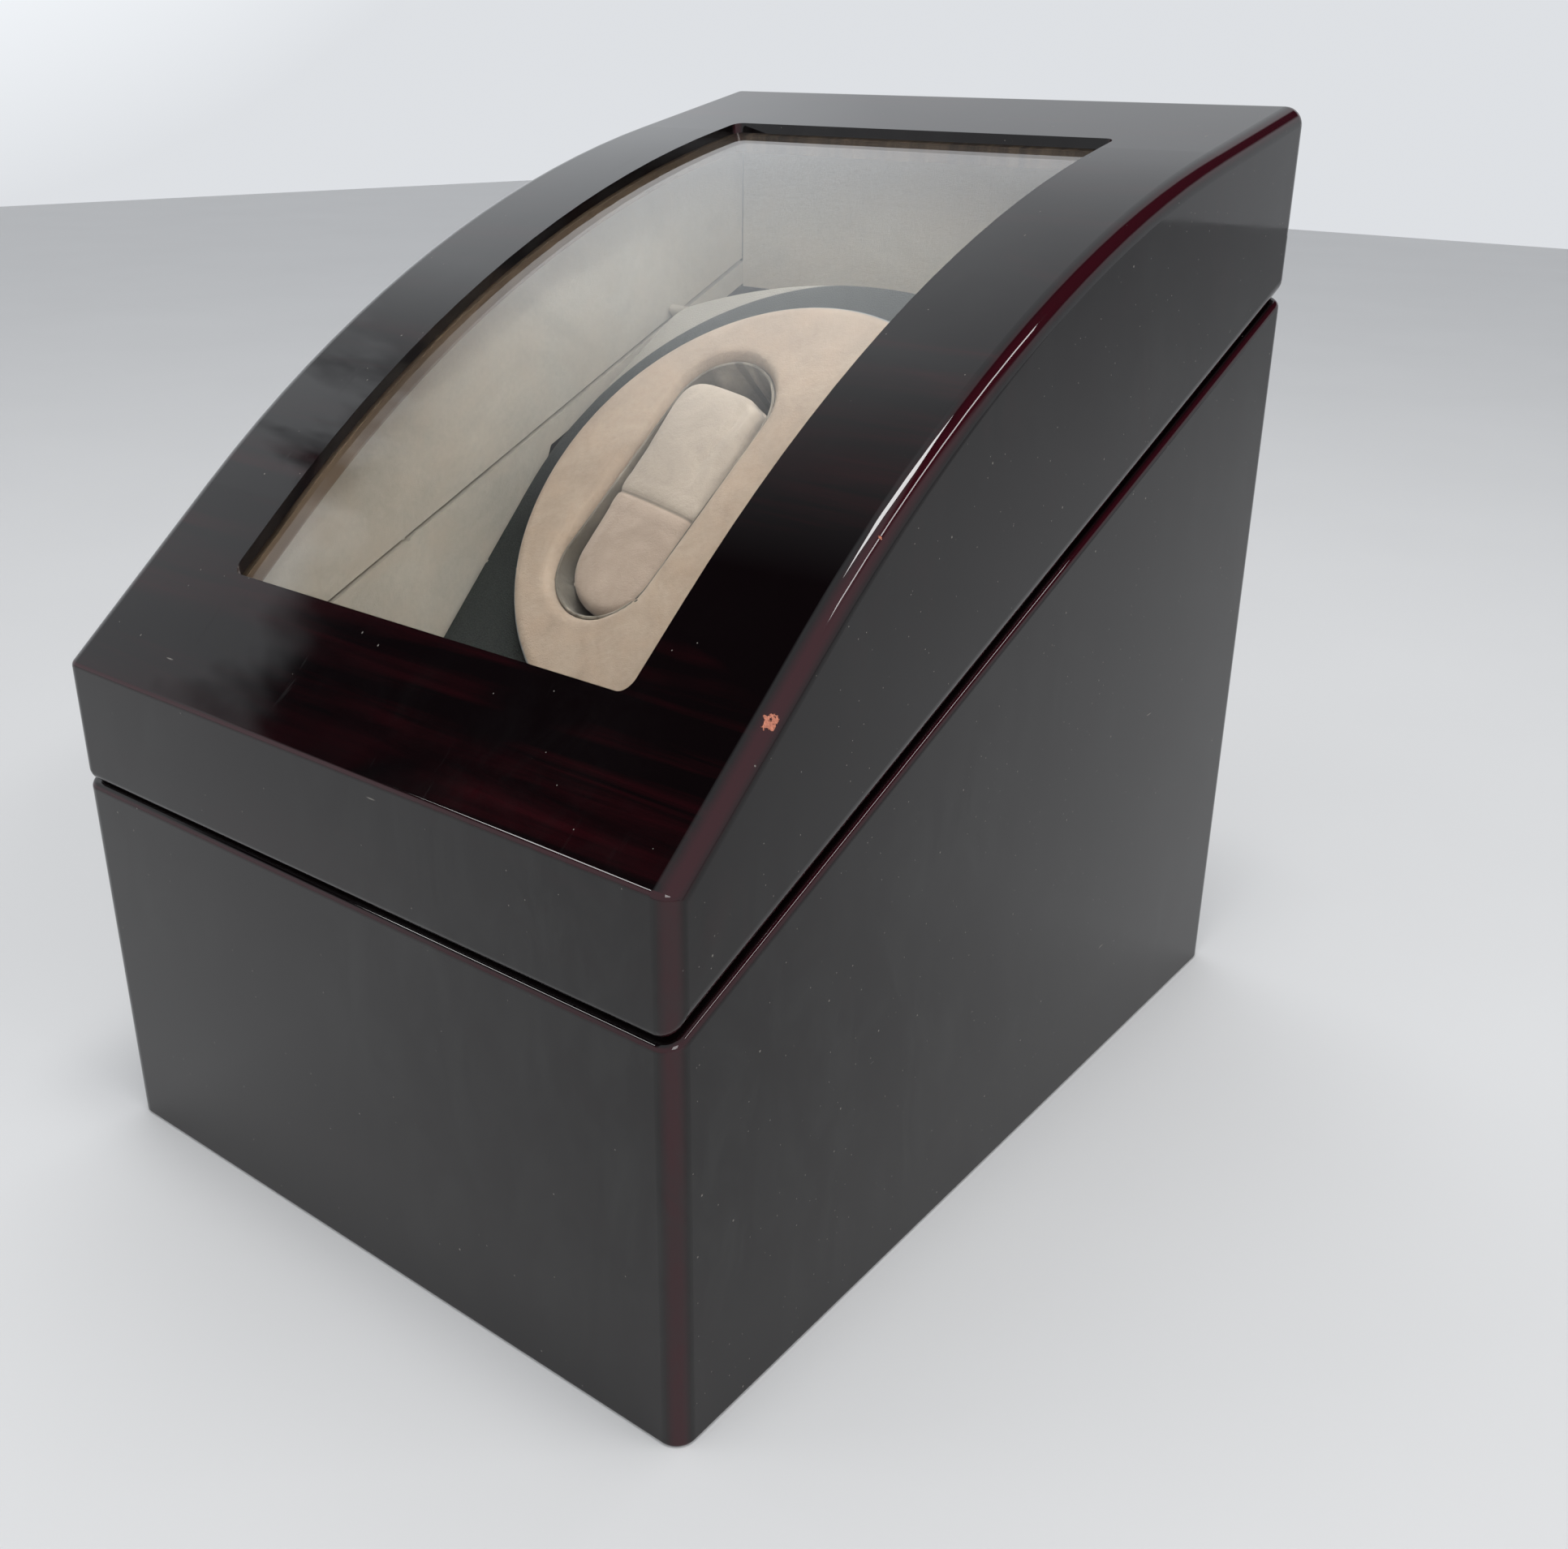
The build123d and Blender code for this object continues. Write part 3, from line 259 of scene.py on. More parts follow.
# ---- Lining of the base and the lid ----
# 2 mm card boards wrapped in beige suede cloth and glued to the walls. The boards of the base and
# of the lid meet at the rim, where a line shows between them. The shelf in front of the turntable
# and the cover behind it are wrapped in the same cloth.
def suede_finish(name, light, dark, blotch=30.0, wrinkle=0.0, gather=0.0):
    """Brushed suede cloth: a fine nap, with lighter and darker patches where it was stroked.

    Wrinkle is the strength of stray creases and of the painted shade in them, gather that of the shade
    between upright folds.
    """
    finish, tree, shader = new_finish(name, light, 0.95)
    stroked = cloud(tree, place(tree), blotch, 7.0, 0.68, 0.8)
    fine = cloud(tree, place(tree), 700.0, 4.0, 0.65)
    fibre = cloud(tree, place(tree), 3600.0, 2.0, 0.7)
    patches = span(tree, stroked, 0.36, 0.64, 0.0, 0.68)
    shade = sums(tree, "ADD", patches, span(tree, fine, 0.32, 0.68, 0.0, 0.32))
    body = blend_colours(tree, shade, dark, light)
    warm = span(tree, cloud(tree, place(tree), blotch * 2.3, 4.0, 0.6, 0.4), 0.42, 0.66, 0.0, 0.35)
    body = blend_colours(tree, warm, body, (light[0] * 0.98, light[1] * 0.90, light[2] * 0.84))
    # stray creases, dented by the bump and painted darker: painted shade in the creases
    fold_and_shade = cloud(tree, place(tree, (3.0, 14.0, 22.0), (0.2, 0.1, 0.5)), 1.0, 1.0, 0.3, 0.7)
    fold_and_shade = span(tree, sums(tree, "ABSOLUTE", sums(tree, "SUBTRACT", fold_and_shade, 0.5)), 0.014, 0.0)
    fold_and_shade = sums(tree, "MULTIPLY", fold_and_shade, wrinkle)
    body = blend_colours(tree, sums(tree, "MULTIPLY", fold_and_shade, 0.3), body, tuple(c * 0.5 for c in dark))
    gathers = cloud(tree, place(tree, (210.0, 5.0, 5.0)), 1.0, 2.0, 0.5)
    gathers = span(tree, gathers, 0.42, 0.58, 0.0, gather)
    body = blend_colours(tree, gathers, body, tuple(c * 0.4 for c in dark))
    tree.links.new(body, shader.inputs["Base Color"])
    height = sums(tree, "ADD", sums(tree, "MULTIPLY", fine, 0.5), sums(tree, "MULTIPLY", fibre, 0.35))
    height = sums(tree, "SUBTRACT", height, fold_and_shade)
    raise_surface(tree, shader, height, 0.0004)
    shader.inputs["Specular IOR Level"].default_value = 0.1
    shader.inputs["Sheen Weight"].default_value = 0.25
    shader.inputs["Sheen Roughness"].default_value = 0.5
    shader.inputs["Sheen Tint"].default_value = (0.95, 0.9, 0.82, 1.0)
    return finish


paint(
    suede_finish("wall_suede", (0.62, 0.568, 0.485), (0.47, 0.434, 0.37), blotch=24.0, wrinkle=0.06),
    "base_lining_left",
    "base_lining_right",
    "base_lining_front",
    "lid_lining_left",
    "lid_lining_right",
    "lid_lining_front",
    "lid_lining_back",
    "front_shelf",
    "rear_cover",
)

# ---- Deck: the black board round the turntable ----
# 6 mm board flocked in black, laid on two battens, with a round hole for the turntable. Its two upper
# corners, more than 86.5 mm from the turntable's middle, carry suede painted darker than the walls' as
# painted shade.
spin = next(joint for joint in frame["joints"] if joint["name"] == "turntable_spin")
table_normal = Vector(spin["axis"]).normalized()
deck_drop = 0.011
deck_middle = Vector(spin["pos_m"]) - deck_drop * table_normal
flock_reach = 0.0865
flock, tree, shader = new_finish("black_flock", (0.012, 0.013, 0.014), 0.95)
fuzz = cloud(tree, place(tree), 2600.0, 2.0, 0.7)
worn = cloud(tree, place(tree), 18.0, 3.0, 0.6)
pile = sums(tree, "MULTIPLY", span(tree, fuzz, 0.3, 0.7), span(tree, worn, 0.3, 0.7, 0.5, 1.0))
black = blend_colours(tree, pile, (0.026, 0.029, 0.028), (0.076, 0.083, 0.078))
# the corners' suede, painted darker than the walls' suede: painted shade
stroked = cloud(tree, place(tree), 30.0, 6.0, 0.65)
shaded_suede = blend_colours(tree, stroked, (0.28, 0.258, 0.222), (0.39, 0.36, 0.31))
where = tree.nodes.new("ShaderNodeTexCoord")
reach = tree.nodes.new("ShaderNodeVectorMath")
reach.operation = "DISTANCE"
reach.inputs[1].default_value = deck_middle
tree.links.new(where.outputs["Object"], reach.inputs[0])
spot = tree.nodes.new("ShaderNodeSeparateXYZ")
tree.links.new(where.outputs["Object"], spot.inputs["Vector"])
outside = span(tree, reach.outputs["Value"], flock_reach - 0.0002, flock_reach + 0.0002)
upper = span(tree, spot.outputs["Z"], deck_middle.z - 0.001, deck_middle.z + 0.001)
shaded_corners = sums(tree, "MULTIPLY", outside, upper)
tree.links.new(blend_colours(tree, shaded_corners, black, shaded_suede), shader.inputs["Base Color"])
raise_surface(tree, shader, fuzz, 0.0003)
shader.inputs["Specular IOR Level"].default_value = 0.1
paint(flock, "winder_deck")

# ---- Turntable moulding ----
# One grey plastic moulding: a rim plate with two long pockets through it, a drum and a hub that is
# pressed on the spindle. Only the thin rim shows round the suede, and the edges of its pockets fall
# away under the suede that rolls over them.
moulded, tree, shader = new_finish("grey_moulding", (0.20, 0.22, 0.235), 0.45)
grain = cloud(tree, place(tree), 1400.0, 3.0, 0.6)
tree.links.new(
    blend_colours(tree, span(tree, grain, 0.3, 0.7), (0.19, 0.21, 0.225), (0.27, 0.29, 0.305)),
    shader.inputs["Base Color"],
)
tree.links.new(span(tree, grain, 0.3, 0.7, 0.35, 0.55), shader.inputs["Roughness"])
raise_surface(tree, shader, grain, 0.00005)

rim_depth = 0.0012
pocket_edge_fall = 0.0042
parked_turn = math.radians(-10.2)
table_across = Vector((1.0, 0.0, 0.0))
up_slope = table_normal.cross(table_across)
table_frame = Matrix((table_across, up_slope, table_normal)).transposed().to_4x4()
table_frame.translation = Vector(spin["pos_m"])
parked_frame = table_frame @ Matrix.Rotation(parked_turn, 4, "Z")
pocket_side = 0.0292
pocket_straight = 0.0272
pocket_radius = 0.0180


def pocket_gap(spot, side):
    """How far a spot lies outside a pocket's outline, and the way out of the pocket there."""
    along = max(-pocket_straight, min(pocket_straight, spot.y))
    out = Vector((spot.x - side * pocket_side, spot.y - along))
    return out.length - pocket_radius, out.normalized()


def nearest_pocket(spot):
    """The gap and the way out of whichever pocket is nearer."""
    return pocket_gap(spot, 1 if spot.x > 0 else -1)


def pick_corners(piece, test):
    """Leaves edit mode open with only the corners selected that pass the test."""
    bpy.ops.object.mode_set(mode="EDIT")
    bpy.ops.mesh.select_mode(type="VERT")
    bpy.ops.mesh.select_all(action="DESELECT")
    bpy.ops.object.mode_set(mode="OBJECT")
    for corner in piece.data.vertices:
        corner.select = test(corner.co)
    bpy.ops.object.mode_set(mode="EDIT")


def finish_piece(piece, finish, body, slot, *replaced):
    """Smooths a new piece, gives it its finish and hands it to its body."""
    bpy.ops.object.select_all(action="DESELECT")
    bpy.context.view_layer.objects.active = piece
    piece.select_set(True)
    bpy.ops.object.shade_smooth_by_angle(angle=math.radians(40))
    piece.data.materials.clear()
    piece.data.materials.append(finish)
    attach(piece, body)
    if replaced:
        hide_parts(*replaced)


def merged_copy(name, node):
    """A copy of a CAD node's mesh as a new piece, with its loose triangles joined up."""
    bpy.ops.object.select_all(action="DESELECT")
    bpy.ops.object.add(type="MESH")
    piece = bpy.context.object
    piece.name = name
    piece.data = nodes[node].data.copy()
    bpy.ops.object.mode_set(mode="EDIT")
    bpy.ops.mesh.select_all(action="SELECT")
    bpy.ops.mesh.remove_doubles(threshold=0.00001)
    bpy.ops.object.mode_set(mode="OBJECT")
    return piece


moulding = merged_copy("turntable_moulding", "turntable_drum")
moulding.data.transform(parked_frame.inverted())
for corner in moulding.data.vertices:
    if abs(corner.co.z + rim_depth) < 0.0001 and nearest_pocket(corner.co)[0] < 0.0005:
        corner.co.z -= pocket_edge_fall
moulding.data.transform(parked_frame)
finish_piece(moulding, moulded, "turntable", "table_plastic", "turntable_drum")

# ---- Turntable facing ----
# Warm beige suede cloth over card, glued to the rim plate and rolled down into the two pockets, so
# that each pocket has a soft edge about 3.5 mm wide.
facing_radius = 0.070
facing_step = 0.00075
cloth_thick = 0.0007
roll_width = 0.0036
roll_drop = 0.0030
rim_roll_width = 0.0012
rim_roll_drop = 0.0008


def roll_over(distance, width, drop):
    """How far a rolled edge has dropped at that distance from its end."""
    if distance >= width:
        return 0.0
    share = 1.0 - max(distance, 0.0) / width
    return drop * (1.0 - math.sqrt(1.0 - share * share))


bpy.ops.object.select_all(action="DESELECT")
bpy.ops.mesh.primitive_grid_add(
    x_subdivisions=round(2 * facing_radius / facing_step),
    y_subdivisions=round(2 * facing_radius / facing_step),
    size=2 * facing_radius,
)
table_suede = bpy.context.object
table_suede.name = "turntable_suede"
pick_corners(
    table_suede,
    lambda co: co.xy.length > facing_radius - 0.3 * facing_step
    or nearest_pocket(co)[0] < 0.3 * facing_step,
)
bpy.ops.mesh.delete(type="VERT")
bpy.ops.mesh.select_non_manifold(extend=False)
bpy.ops.object.mode_set(mode="OBJECT")
for corner in table_suede.data.vertices:
    if corner.select:
        gap, out = nearest_pocket(corner.co)
        if gap < 0.003:
            corner.co.xy -= gap * out
        else:
            corner.co.xy = corner.co.xy.normalized() * facing_radius
bpy.ops.object.mode_set(mode="EDIT")
bpy.ops.mesh.select_all(action="SELECT")
bpy.ops.mesh.extrude_region()
bpy.ops.object.mode_set(mode="OBJECT")
for corner in table_suede.data.vertices:
    if corner.select:
        drop = roll_over(nearest_pocket(corner.co)[0], roll_width, roll_drop)
        drop += roll_over(facing_radius - corner.co.xy.length, rim_roll_width, rim_roll_drop)
        corner.co.z = -drop
    else:
        drop = roll_over(nearest_pocket(corner.co)[0], roll_width, roll_drop)
        corner.co.z = -max(rim_depth, drop + cloth_thick)
bpy.ops.object.mode_set(mode="EDIT")
bpy.ops.mesh.select_all(action="SELECT")
bpy.ops.mesh.normals_make_consistent(inside=False)
bpy.ops.object.mode_set(mode="OBJECT")
table_suede.data.transform(parked_frame)
facing_cloth = suede_finish("table_suede_cloth", (0.475, 0.375, 0.292), (0.352, 0.269, 0.206), blotch=48.0)
finish_piece(table_suede, facing_cloth, "turntable", "suede_facing", "turntable_facing")

# ---- Pocket liners ----
# A cup of suede cloth in each pocket, gathered at the two round ends, where the cloth stands in
# upright folds. Its upper hem is a thin piped lip just inside the rolled edge.
liner_corners = 176
fold_depth = 0.0020
fold_start = 0.0036
fold_onset = 0.005
# how far each ring of the cup stands inside the pocket's wall, and its height
liner_rings = (
    (0.00035, -0.0036),
    (0.00015, -0.0032),
    (0.00025, -0.0027),
    (0.00065, -0.0024),
    (0.00105, -0.0026),
    (0.00120, -0.0031),
    (0.00110, -0.0037),
    (0.00110, -0.0050),
    (0.00110, -0.0070),
    (0.00110, -0.0100),
    (0.00110, -0.0150),
    (0.00110, -0.0220),
    (0.00110, -0.0310),
    (0.00110, -0.0390),
    (0.00200, -0.0418),
    (0.00450, -0.0422),
)


def liner_fold(out, depth):
    """How far the cloth of the end walls stands into the pocket."""
    bearing = math.atan2(out.x, abs(out.y))
    wave = 0.5 + 0.5 * math.cos(7.5 * bearing + 0.9 * math.sin(3.0 * bearing))
    onset = min(1.0, max(0.0, (-depth - fold_start) / fold_onset))
    return fold_depth * wave * wave * onset * min(1.0, abs(out.y) * 1.6)


liner_cloth = suede_finish(
    "pocket_suede_cloth", (0.34, 0.30, 0.25), (0.20, 0.18, 0.15), blotch=60.0, gather=0.6
)
for name, side in (("left", -1), ("right", 1)):
    bpy.ops.object.select_all(action="DESELECT")
    bpy.ops.mesh.primitive_circle_add(vertices=liner_corners, radius=pocket_radius, fill_type="NOTHING")
    liner = bpy.context.object
    liner.name = "pocket_liner_cloth_" + name
    outline = 2 * math.pi * pocket_radius + 4 * pocket_straight
    for number, corner in enumerate(liner.data.vertices):
        run = outline * number / liner_corners
        quarter = math.pi * pocket_radius
        if run < quarter:
            turn = run / pocket_radius
            spot = (pocket_radius * math.cos(turn), pocket_straight + pocket_radius * math.sin(turn))
        elif run < quarter + 2 * pocket_straight:
            spot = (-pocket_radius, pocket_straight - (run - quarter))
        elif run < 2 * quarter + 2 * pocket_straight:
            turn = math.pi + (run - quarter - 2 * pocket_straight) / pocket_radius
            spot = (pocket_radius * math.cos(turn), -pocket_straight + pocket_radius * math.sin(turn))
        else:
            spot = (pocket_radius, -pocket_straight + run - 2 * quarter - 2 * pocket_straight)
        corner.co = (side * pocket_side + spot[0], spot[1], 0.0)
    bpy.ops.object.mode_set(mode="EDIT")
    bpy.ops.mesh.select_all(action="SELECT")
    for number, (inset, depth) in enumerate(liner_rings):
        if number:
            bpy.ops.mesh.extrude_region()
        bpy.ops.object.mode_set(mode="OBJECT")
        for corner in liner.data.vertices:
            if corner.select:
                gap, out = pocket_gap(corner.co, side)
                wanted = -inset - liner_fold(out, depth)
                corner.co.xy += (wanted - gap) * out
                corner.co.z = depth
        bpy.ops.object.mode_set(mode="EDIT")
    bpy.ops.mesh.edge_face_add()
    bpy.ops.mesh.select_all(action="SELECT")
    bpy.ops.mesh.normals_make_consistent(inside=False)
    bpy.ops.object.mode_set(mode="OBJECT")
    bpy.ops.object.modifier_add(type="SOLIDIFY")
    liner.modifiers[0].thickness = cloth_thick
    liner.modifiers[0].offset = 1.0
    bpy.ops.object.modifier_apply(modifier=liner.modifiers[0].name)
    liner.data.transform(parked_frame)
    finish_piece(liner, liner_cloth, "turntable", "suede_lining", "pocket_liner_" + name)

# ---- Watch cushions ----
# Each cushion is a foam block with round ends in a cover of suede cloth, sewn from an upper and a
# lower half that meet at a seam across the middle. It is pushed into its pocket with the lower end
# deeper than the upper one. The nap of the two halves runs opposite ways, so one looks darker.
cushion_half_width = 0.0160
cushion_half_length = 0.0380
cushion_thick = 0.0315
cushion_edge = 0.0034
cushion_crown = 0.0012
cushion_cap = 0.0016
cushion_mesh = 0.0013
cushion_lean = math.radians(4.6)
cushion_swing = math.radians(1.3)
cushion_seam = -0.0022
seam_pin = 0.0009
seam_reach = 0.0010
seam_dent = 0.0005
seam_swell = 0.0002
seam_swell_width = 0.0050
crease_side = 0.0085
crease_slant = 0.12
crease_reach = 0.003
crease_dent = 0.0007
crease_start = cushion_seam + 0.004
crease_fade = 0.012
frames_to_fill = 20


def fill_cushion(cushion, seam_test):
    """Blows the cover out against its seam as foam does, and stops each point after the cap."""
    pinned = cushion.vertex_groups.new(name="seam")
    pinned.add([corner.index for corner in cushion.data.vertices if seam_test(corner.co)], 1.0, "REPLACE")
    start = [corner.co.copy() for corner in cushion.data.vertices]
    bpy.ops.object.modifier_add(type="CLOTH")
    cloth = cushion.modifiers[0]
    cloth.settings.quality = 5
    cloth.settings.mass = 0.2
    cloth.settings.tension_stiffness = 18.0
    cloth.settings.compression_stiffness = 18.0
    cloth.settings.bending_stiffness = 0.6
    cloth.settings.use_pressure = True
    cloth.settings.uniform_pressure_force = 4.0
    cloth.settings.vertex_group_mass = "seam"
    cloth.settings.effector_weights.gravity = 0.0
    cloth.collision_settings.use_collision = False
    for number in range(1, frames_to_fill + 1):
        bpy.context.scene.frame_set(number)
    bpy.ops.object.modifier_apply(modifier=cloth.name)
    bpy.context.scene.frame_set(1)
    for corner, before in zip(cushion.data.vertices, start):
        move = corner.co - before
        if move.length > cushion_cap:
            corner.co = before + move.normalized() * cushion_cap
    cushion.vertex_groups.clear()


for name, side in (("left", -1), ("right", 1)):
    seat = parked_frame @ Matrix.Translation((side * pocket_side - 0.0002, -0.0034, -0.0028))
    seat = seat @ Matrix.Rotation(cushion_lean, 4, "X") @ Matrix.Rotation(cushion_swing, 4, "Z")
    bpy.ops.object.select_all(action="DESELECT")
    bpy.ops.mesh.primitive_cylinder_add(
        vertices=72, radius=cushion_half_width, depth=cushion_thick, location=(0, 0, -cushion_thick / 2)
    )
    bpy.ops.object.transform_apply(location=True, rotation=False, scale=False)
    cushion = bpy.context.object
    cushion.name = "cushion_cover_" + name
    straight = cushion_half_length - cushion_half_width
    for corner in cushion.data.vertices:
        if corner.co.y > 0.00001:
            c, k = corner.co.x / cushion_half_width, corner.co.y / cushion_half_width
            corner.co.xy *= (c**4 + k**4) ** -0.25
            corner.co.y += straight
        else:
            corner.co.y -= straight
    bpy.ops.object.modifier_add(type="BEVEL")
    cushion.modifiers[0].width = cushion_edge
    cushion.modifiers[0].segments = 4
    bpy.ops.object.modifier_apply(modifier=cushion.modifiers[0].name)
    cushion.data.remesh_voxel_size = cushion_mesh
    bpy.ops.object.voxel_remesh()
    fill_cushion(cushion, lambda co: abs(co.y - cushion_seam) < seam_pin)
    bpy.ops.object.modifier_add(type="SUBSURF")
    cushion.modifiers[0].levels = 1
    cushion.modifiers[0].render_levels = 1
    bpy.ops.object.modifier_apply(modifier=cushion.modifiers[0].name)
    moves = []
    for corner in cushion.data.vertices:
        from_seam = abs(corner.co.y - cushion_seam)
        dent = 0.0
        if from_seam < seam_reach:
            dent -= seam_dent * (1 - (from_seam / seam_reach) ** 2)
        elif from_seam < seam_reach + seam_swell_width:
            dent += seam_swell * math.sin(math.pi * (from_seam - seam_reach) / seam_swell_width)
        crease = abs(corner.co.x - crease_side - crease_slant * (corner.co.y - 0.01))
        if corner.co.z > -0.008 and crease < crease_reach and corner.co.y > crease_start:
            fade = min(1.0, (corner.co.y - crease_start) / crease_fade)
            dent -= crease_dent * fade * (0.5 + 0.5 * math.cos(math.pi * crease / crease_reach))
        across = 1 - (corner.co.x / cushion_half_width) ** 2
        along = 1 - (corner.co.y / cushion_half_length) ** 4
        lift = cushion_crown * max(0.0, across * along) if corner.co.z > -0.005 else 0.0
        moves.append(corner.normal * dent + Vector((0.0, 0.0, lift)))
    for corner, move in zip(cushion.data.vertices, moves):
        corner.co += move
    cushion.data.transform(seat)
    cover, tree, shader = new_finish("cushion_suede_" + name, (0.6, 0.54, 0.45), 0.95)
    stroked = span(tree, cloud(tree, place(tree), 45.0, 7.0, 0.68, 0.8), 0.3, 0.7)
    fine = cloud(tree, place(tree), 700.0, 4.0, 0.65)
    fibre = cloud(tree, place(tree), 3600.0, 2.0, 0.7)
    slope = tree.nodes.new("ShaderNodeVectorMath")
    slope.operation = "DOT_PRODUCT"
    along_cushion = (seat.to_3x3() @ Vector((0.0, 1.0, 0.0))).normalized()
    slope.inputs[1].default_value = along_cushion
    where = tree.nodes.new("ShaderNodeTexCoord")
    tree.links.new(where.outputs["Object"], slope.inputs[0])
    seam_at = along_cushion.dot(seat @ Vector((0.0, cushion_seam, 0.0)))
    from_seam = sums(tree, "SUBTRACT", slope.outputs["Value"], seam_at)
    upper_half = blend_colours(tree, stroked, (0.40, 0.335, 0.275), (0.54, 0.455, 0.375))
    lower_half = blend_colours(tree, stroked, (0.35, 0.27, 0.215), (0.49, 0.385, 0.31))
    body = blend_colours(tree, span(tree, from_seam, -0.0004, 0.0004), lower_half, upper_half)
    stitch = span(tree, sums(tree, "ABSOLUTE", from_seam), 0.0007, 0.0002, 0.0, 0.65)
    body = blend_colours(tree, stitch, body, (0.16, 0.14, 0.115))
    tree.links.new(body, shader.inputs["Base Color"])
    nap = sums(tree, "ADD", sums(tree, "MULTIPLY", fine, 0.5), sums(tree, "MULTIPLY", fibre, 0.35))
    raise_surface(tree, shader, nap, 0.0004)
    shader.inputs["Specular IOR Level"].default_value = 0.1
    shader.inputs["Sheen Weight"].default_value = 0.25
    finish_piece(cushion, cover, "cushion_" + name, "suede_cushion", "watch_cushion_" + name)

# ---- Spindle, bracket and screws ----
# Bright drawn steel for the spindle and the motor's shaft, zinc-plated sheet and turned posts for
# the bracket, and plain steel screws. The motor's can, the clip and the knob's shaft are plated too.
steel, tree, shader = new_finish("plated_steel", (0.56, 0.56, 0.57), 0.3, 1.0)
drawn = cloud(tree, place(tree, (900.0, 60.0, 60.0)), 1.0, 4.0, 0.6)
stain = cloud(tree, place(tree), 90.0, 4.0, 0.6)
tree.links.new(
    blend_colours(tree, span(tree, stain, 0.3, 0.7), (0.46, 0.46, 0.48), (0.62, 0.62, 0.63)),
    shader.inputs["Base Color"],
)
tree.links.new(span(tree, drawn, 0.3, 0.7, 0.2, 0.42), shader.inputs["Roughness"])
raise_surface(tree, shader, drawn, 0.00004)
paint(
    steel,
    "turntable_spindle",
    "motor_bracket",
    "bracket_posts",
    "bracket_screws",
    "pinion_shaft",
    "motor_can",
    "spindle_clip",
    "mode_shaft",
    "plate_screws",
)

# ---- Hinges, bush and pinion ----
# Polished brass butt hinges with brass pins and screws, a turned brass bush for the spindle and a
# cut brass pinion. The polish has dulled a little in patches.
brass, tree, shader = new_finish("polished_brass", (0.72, 0.50, 0.20), 0.2, 1.0)
dull = cloud(tree, place(tree), 240.0, 5.0, 0.65)
lines = cloud(tree, place(tree, (30.0, 30.0, 1400.0)), 1.0, 3.0, 0.6)
tree.links.new(
    blend_colours(tree, span(tree, dull, 0.35, 0.75), (0.78, 0.56, 0.24), (0.50, 0.33, 0.13)),
    shader.inputs["Base Color"],
)
tree.links.new(span(tree, dull, 0.3, 0.75, 0.16, 0.38), shader.inputs["Roughness"])
raise_surface(tree, shader, lines, 0.00003)
paint(
    brass,
    "spindle_bush",
    "motor_pinion",
    "hinge_base_leaves",
    "hinge_lid_leaves",
    "hinge_pins",
    "hinge_base_screws",
    "hinge_lid_screws",
)

# ---- Gear, washer and standoffs ----
# The gear and the thrust washer are cut from natural white acetal, and the circuit board's
# standoffs are turned from the same. All are a little greasy in patches.
acetal, tree, shader = new_finish("white_acetal", (0.80, 0.79, 0.74), 0.4)
mottle = cloud(tree, place(tree), 160.0, 5.0, 0.6)
tree.links.new(
    blend_colours(tree, span(tree, mottle, 0.3, 0.7), (0.72, 0.70, 0.63), (0.84, 0.83, 0.79)),
    shader.inputs["Base Color"],
)
tree.links.new(span(tree, mottle, 0.3, 0.7, 0.25, 0.5), shader.inputs["Roughness"])
raise_surface(tree, shader, mottle, 0.00005)
shader.inputs["Subsurface Weight"].default_value = 0.05
paint(acetal, "driven_gear", "thrust_washer", "board_standoffs")

# ---- Gearbox and controls ----
# Black moulded plastic with a fine spark-eroded texture: the gearbox case, the plate in the back
# recess, the power inlet, the rocker switch and the knob that picks the turning programme.
plastic, tree, shader = new_finish("black_moulding", (0.02, 0.02, 0.021), 0.42)
spark = cloud(tree, place(tree), 2400.0, 3.0, 0.65)
rubbed = cloud(tree, place(tree), 70.0, 4.0, 0.6)
tree.links.new(
    blend_colours(tree, span(tree, rubbed, 0.35, 0.7), (0.014, 0.014, 0.015), (0.030, 0.030, 0.031)),
    shader.inputs["Base Color"],
)
tree.links.new(span(tree, rubbed, 0.3, 0.7, 0.34, 0.52), shader.inputs["Roughness"])
raise_surface(tree, shader, spark, 0.00008)
paint(plastic, "gearbox_case", "control_plate", "dc_jack", "rocker_housing", "power_rocker", "mode_knob")

switch_body, tree, shader = new_finish("switch_moulding", (0.05, 0.12, 0.075), 0.5)
specky = cloud(tree, place(tree), 1800.0, 3.0, 0.6)
tree.links.new(
    blend_colours(tree, span(tree, specky, 0.3, 0.7), (0.04, 0.10, 0.06), (0.07, 0.16, 0.10)),
    shader.inputs["Base Color"],
)
raise_surface(tree, shader, specky, 0.00006)
paint(switch_body, "mode_switch")

lens, tree, shader = new_finish("green_lens", (0.10, 0.42, 0.14), 0.12)
swirl = cloud(tree, place(tree), 600.0, 2.0, 0.5)
tree.links.new(
    blend_colours(tree, span(tree, swirl, 0.3, 0.7), (0.07, 0.34, 0.10), (0.14, 0.50, 0.18)),
    shader.inputs["Base Color"],
)
shader.inputs["Transmission Weight"].default_value = 0.4
paint(lens, "power_led")

# ---- Circuit board ----
# A small glass-fibre board under a green solder mask, pushed on the pegs of its standoffs. The
# weave of its glass cloth just shows through the mask.
mask, tree, shader = new_finish("green_mask", (0.02, 0.14, 0.05), 0.35)
weave = cloud(tree, place(tree, (1.0, 6.0, 1.0)), 700.0, 2.0, 0.5)
cross_weave = cloud(tree, place(tree, (6.0, 1.0, 1.0)), 700.0, 2.0, 0.5)
threads = sums(tree, "MULTIPLY", weave, cross_weave)
tree.links.new(
    blend_colours(tree, span(tree, threads, 0.15, 0.4), (0.012, 0.10, 0.035), (0.03, 0.19, 0.07)),
    shader.inputs["Base Color"],
)
raise_surface(tree, shader, threads, 0.00006)
paint(mask, "circuit_board")

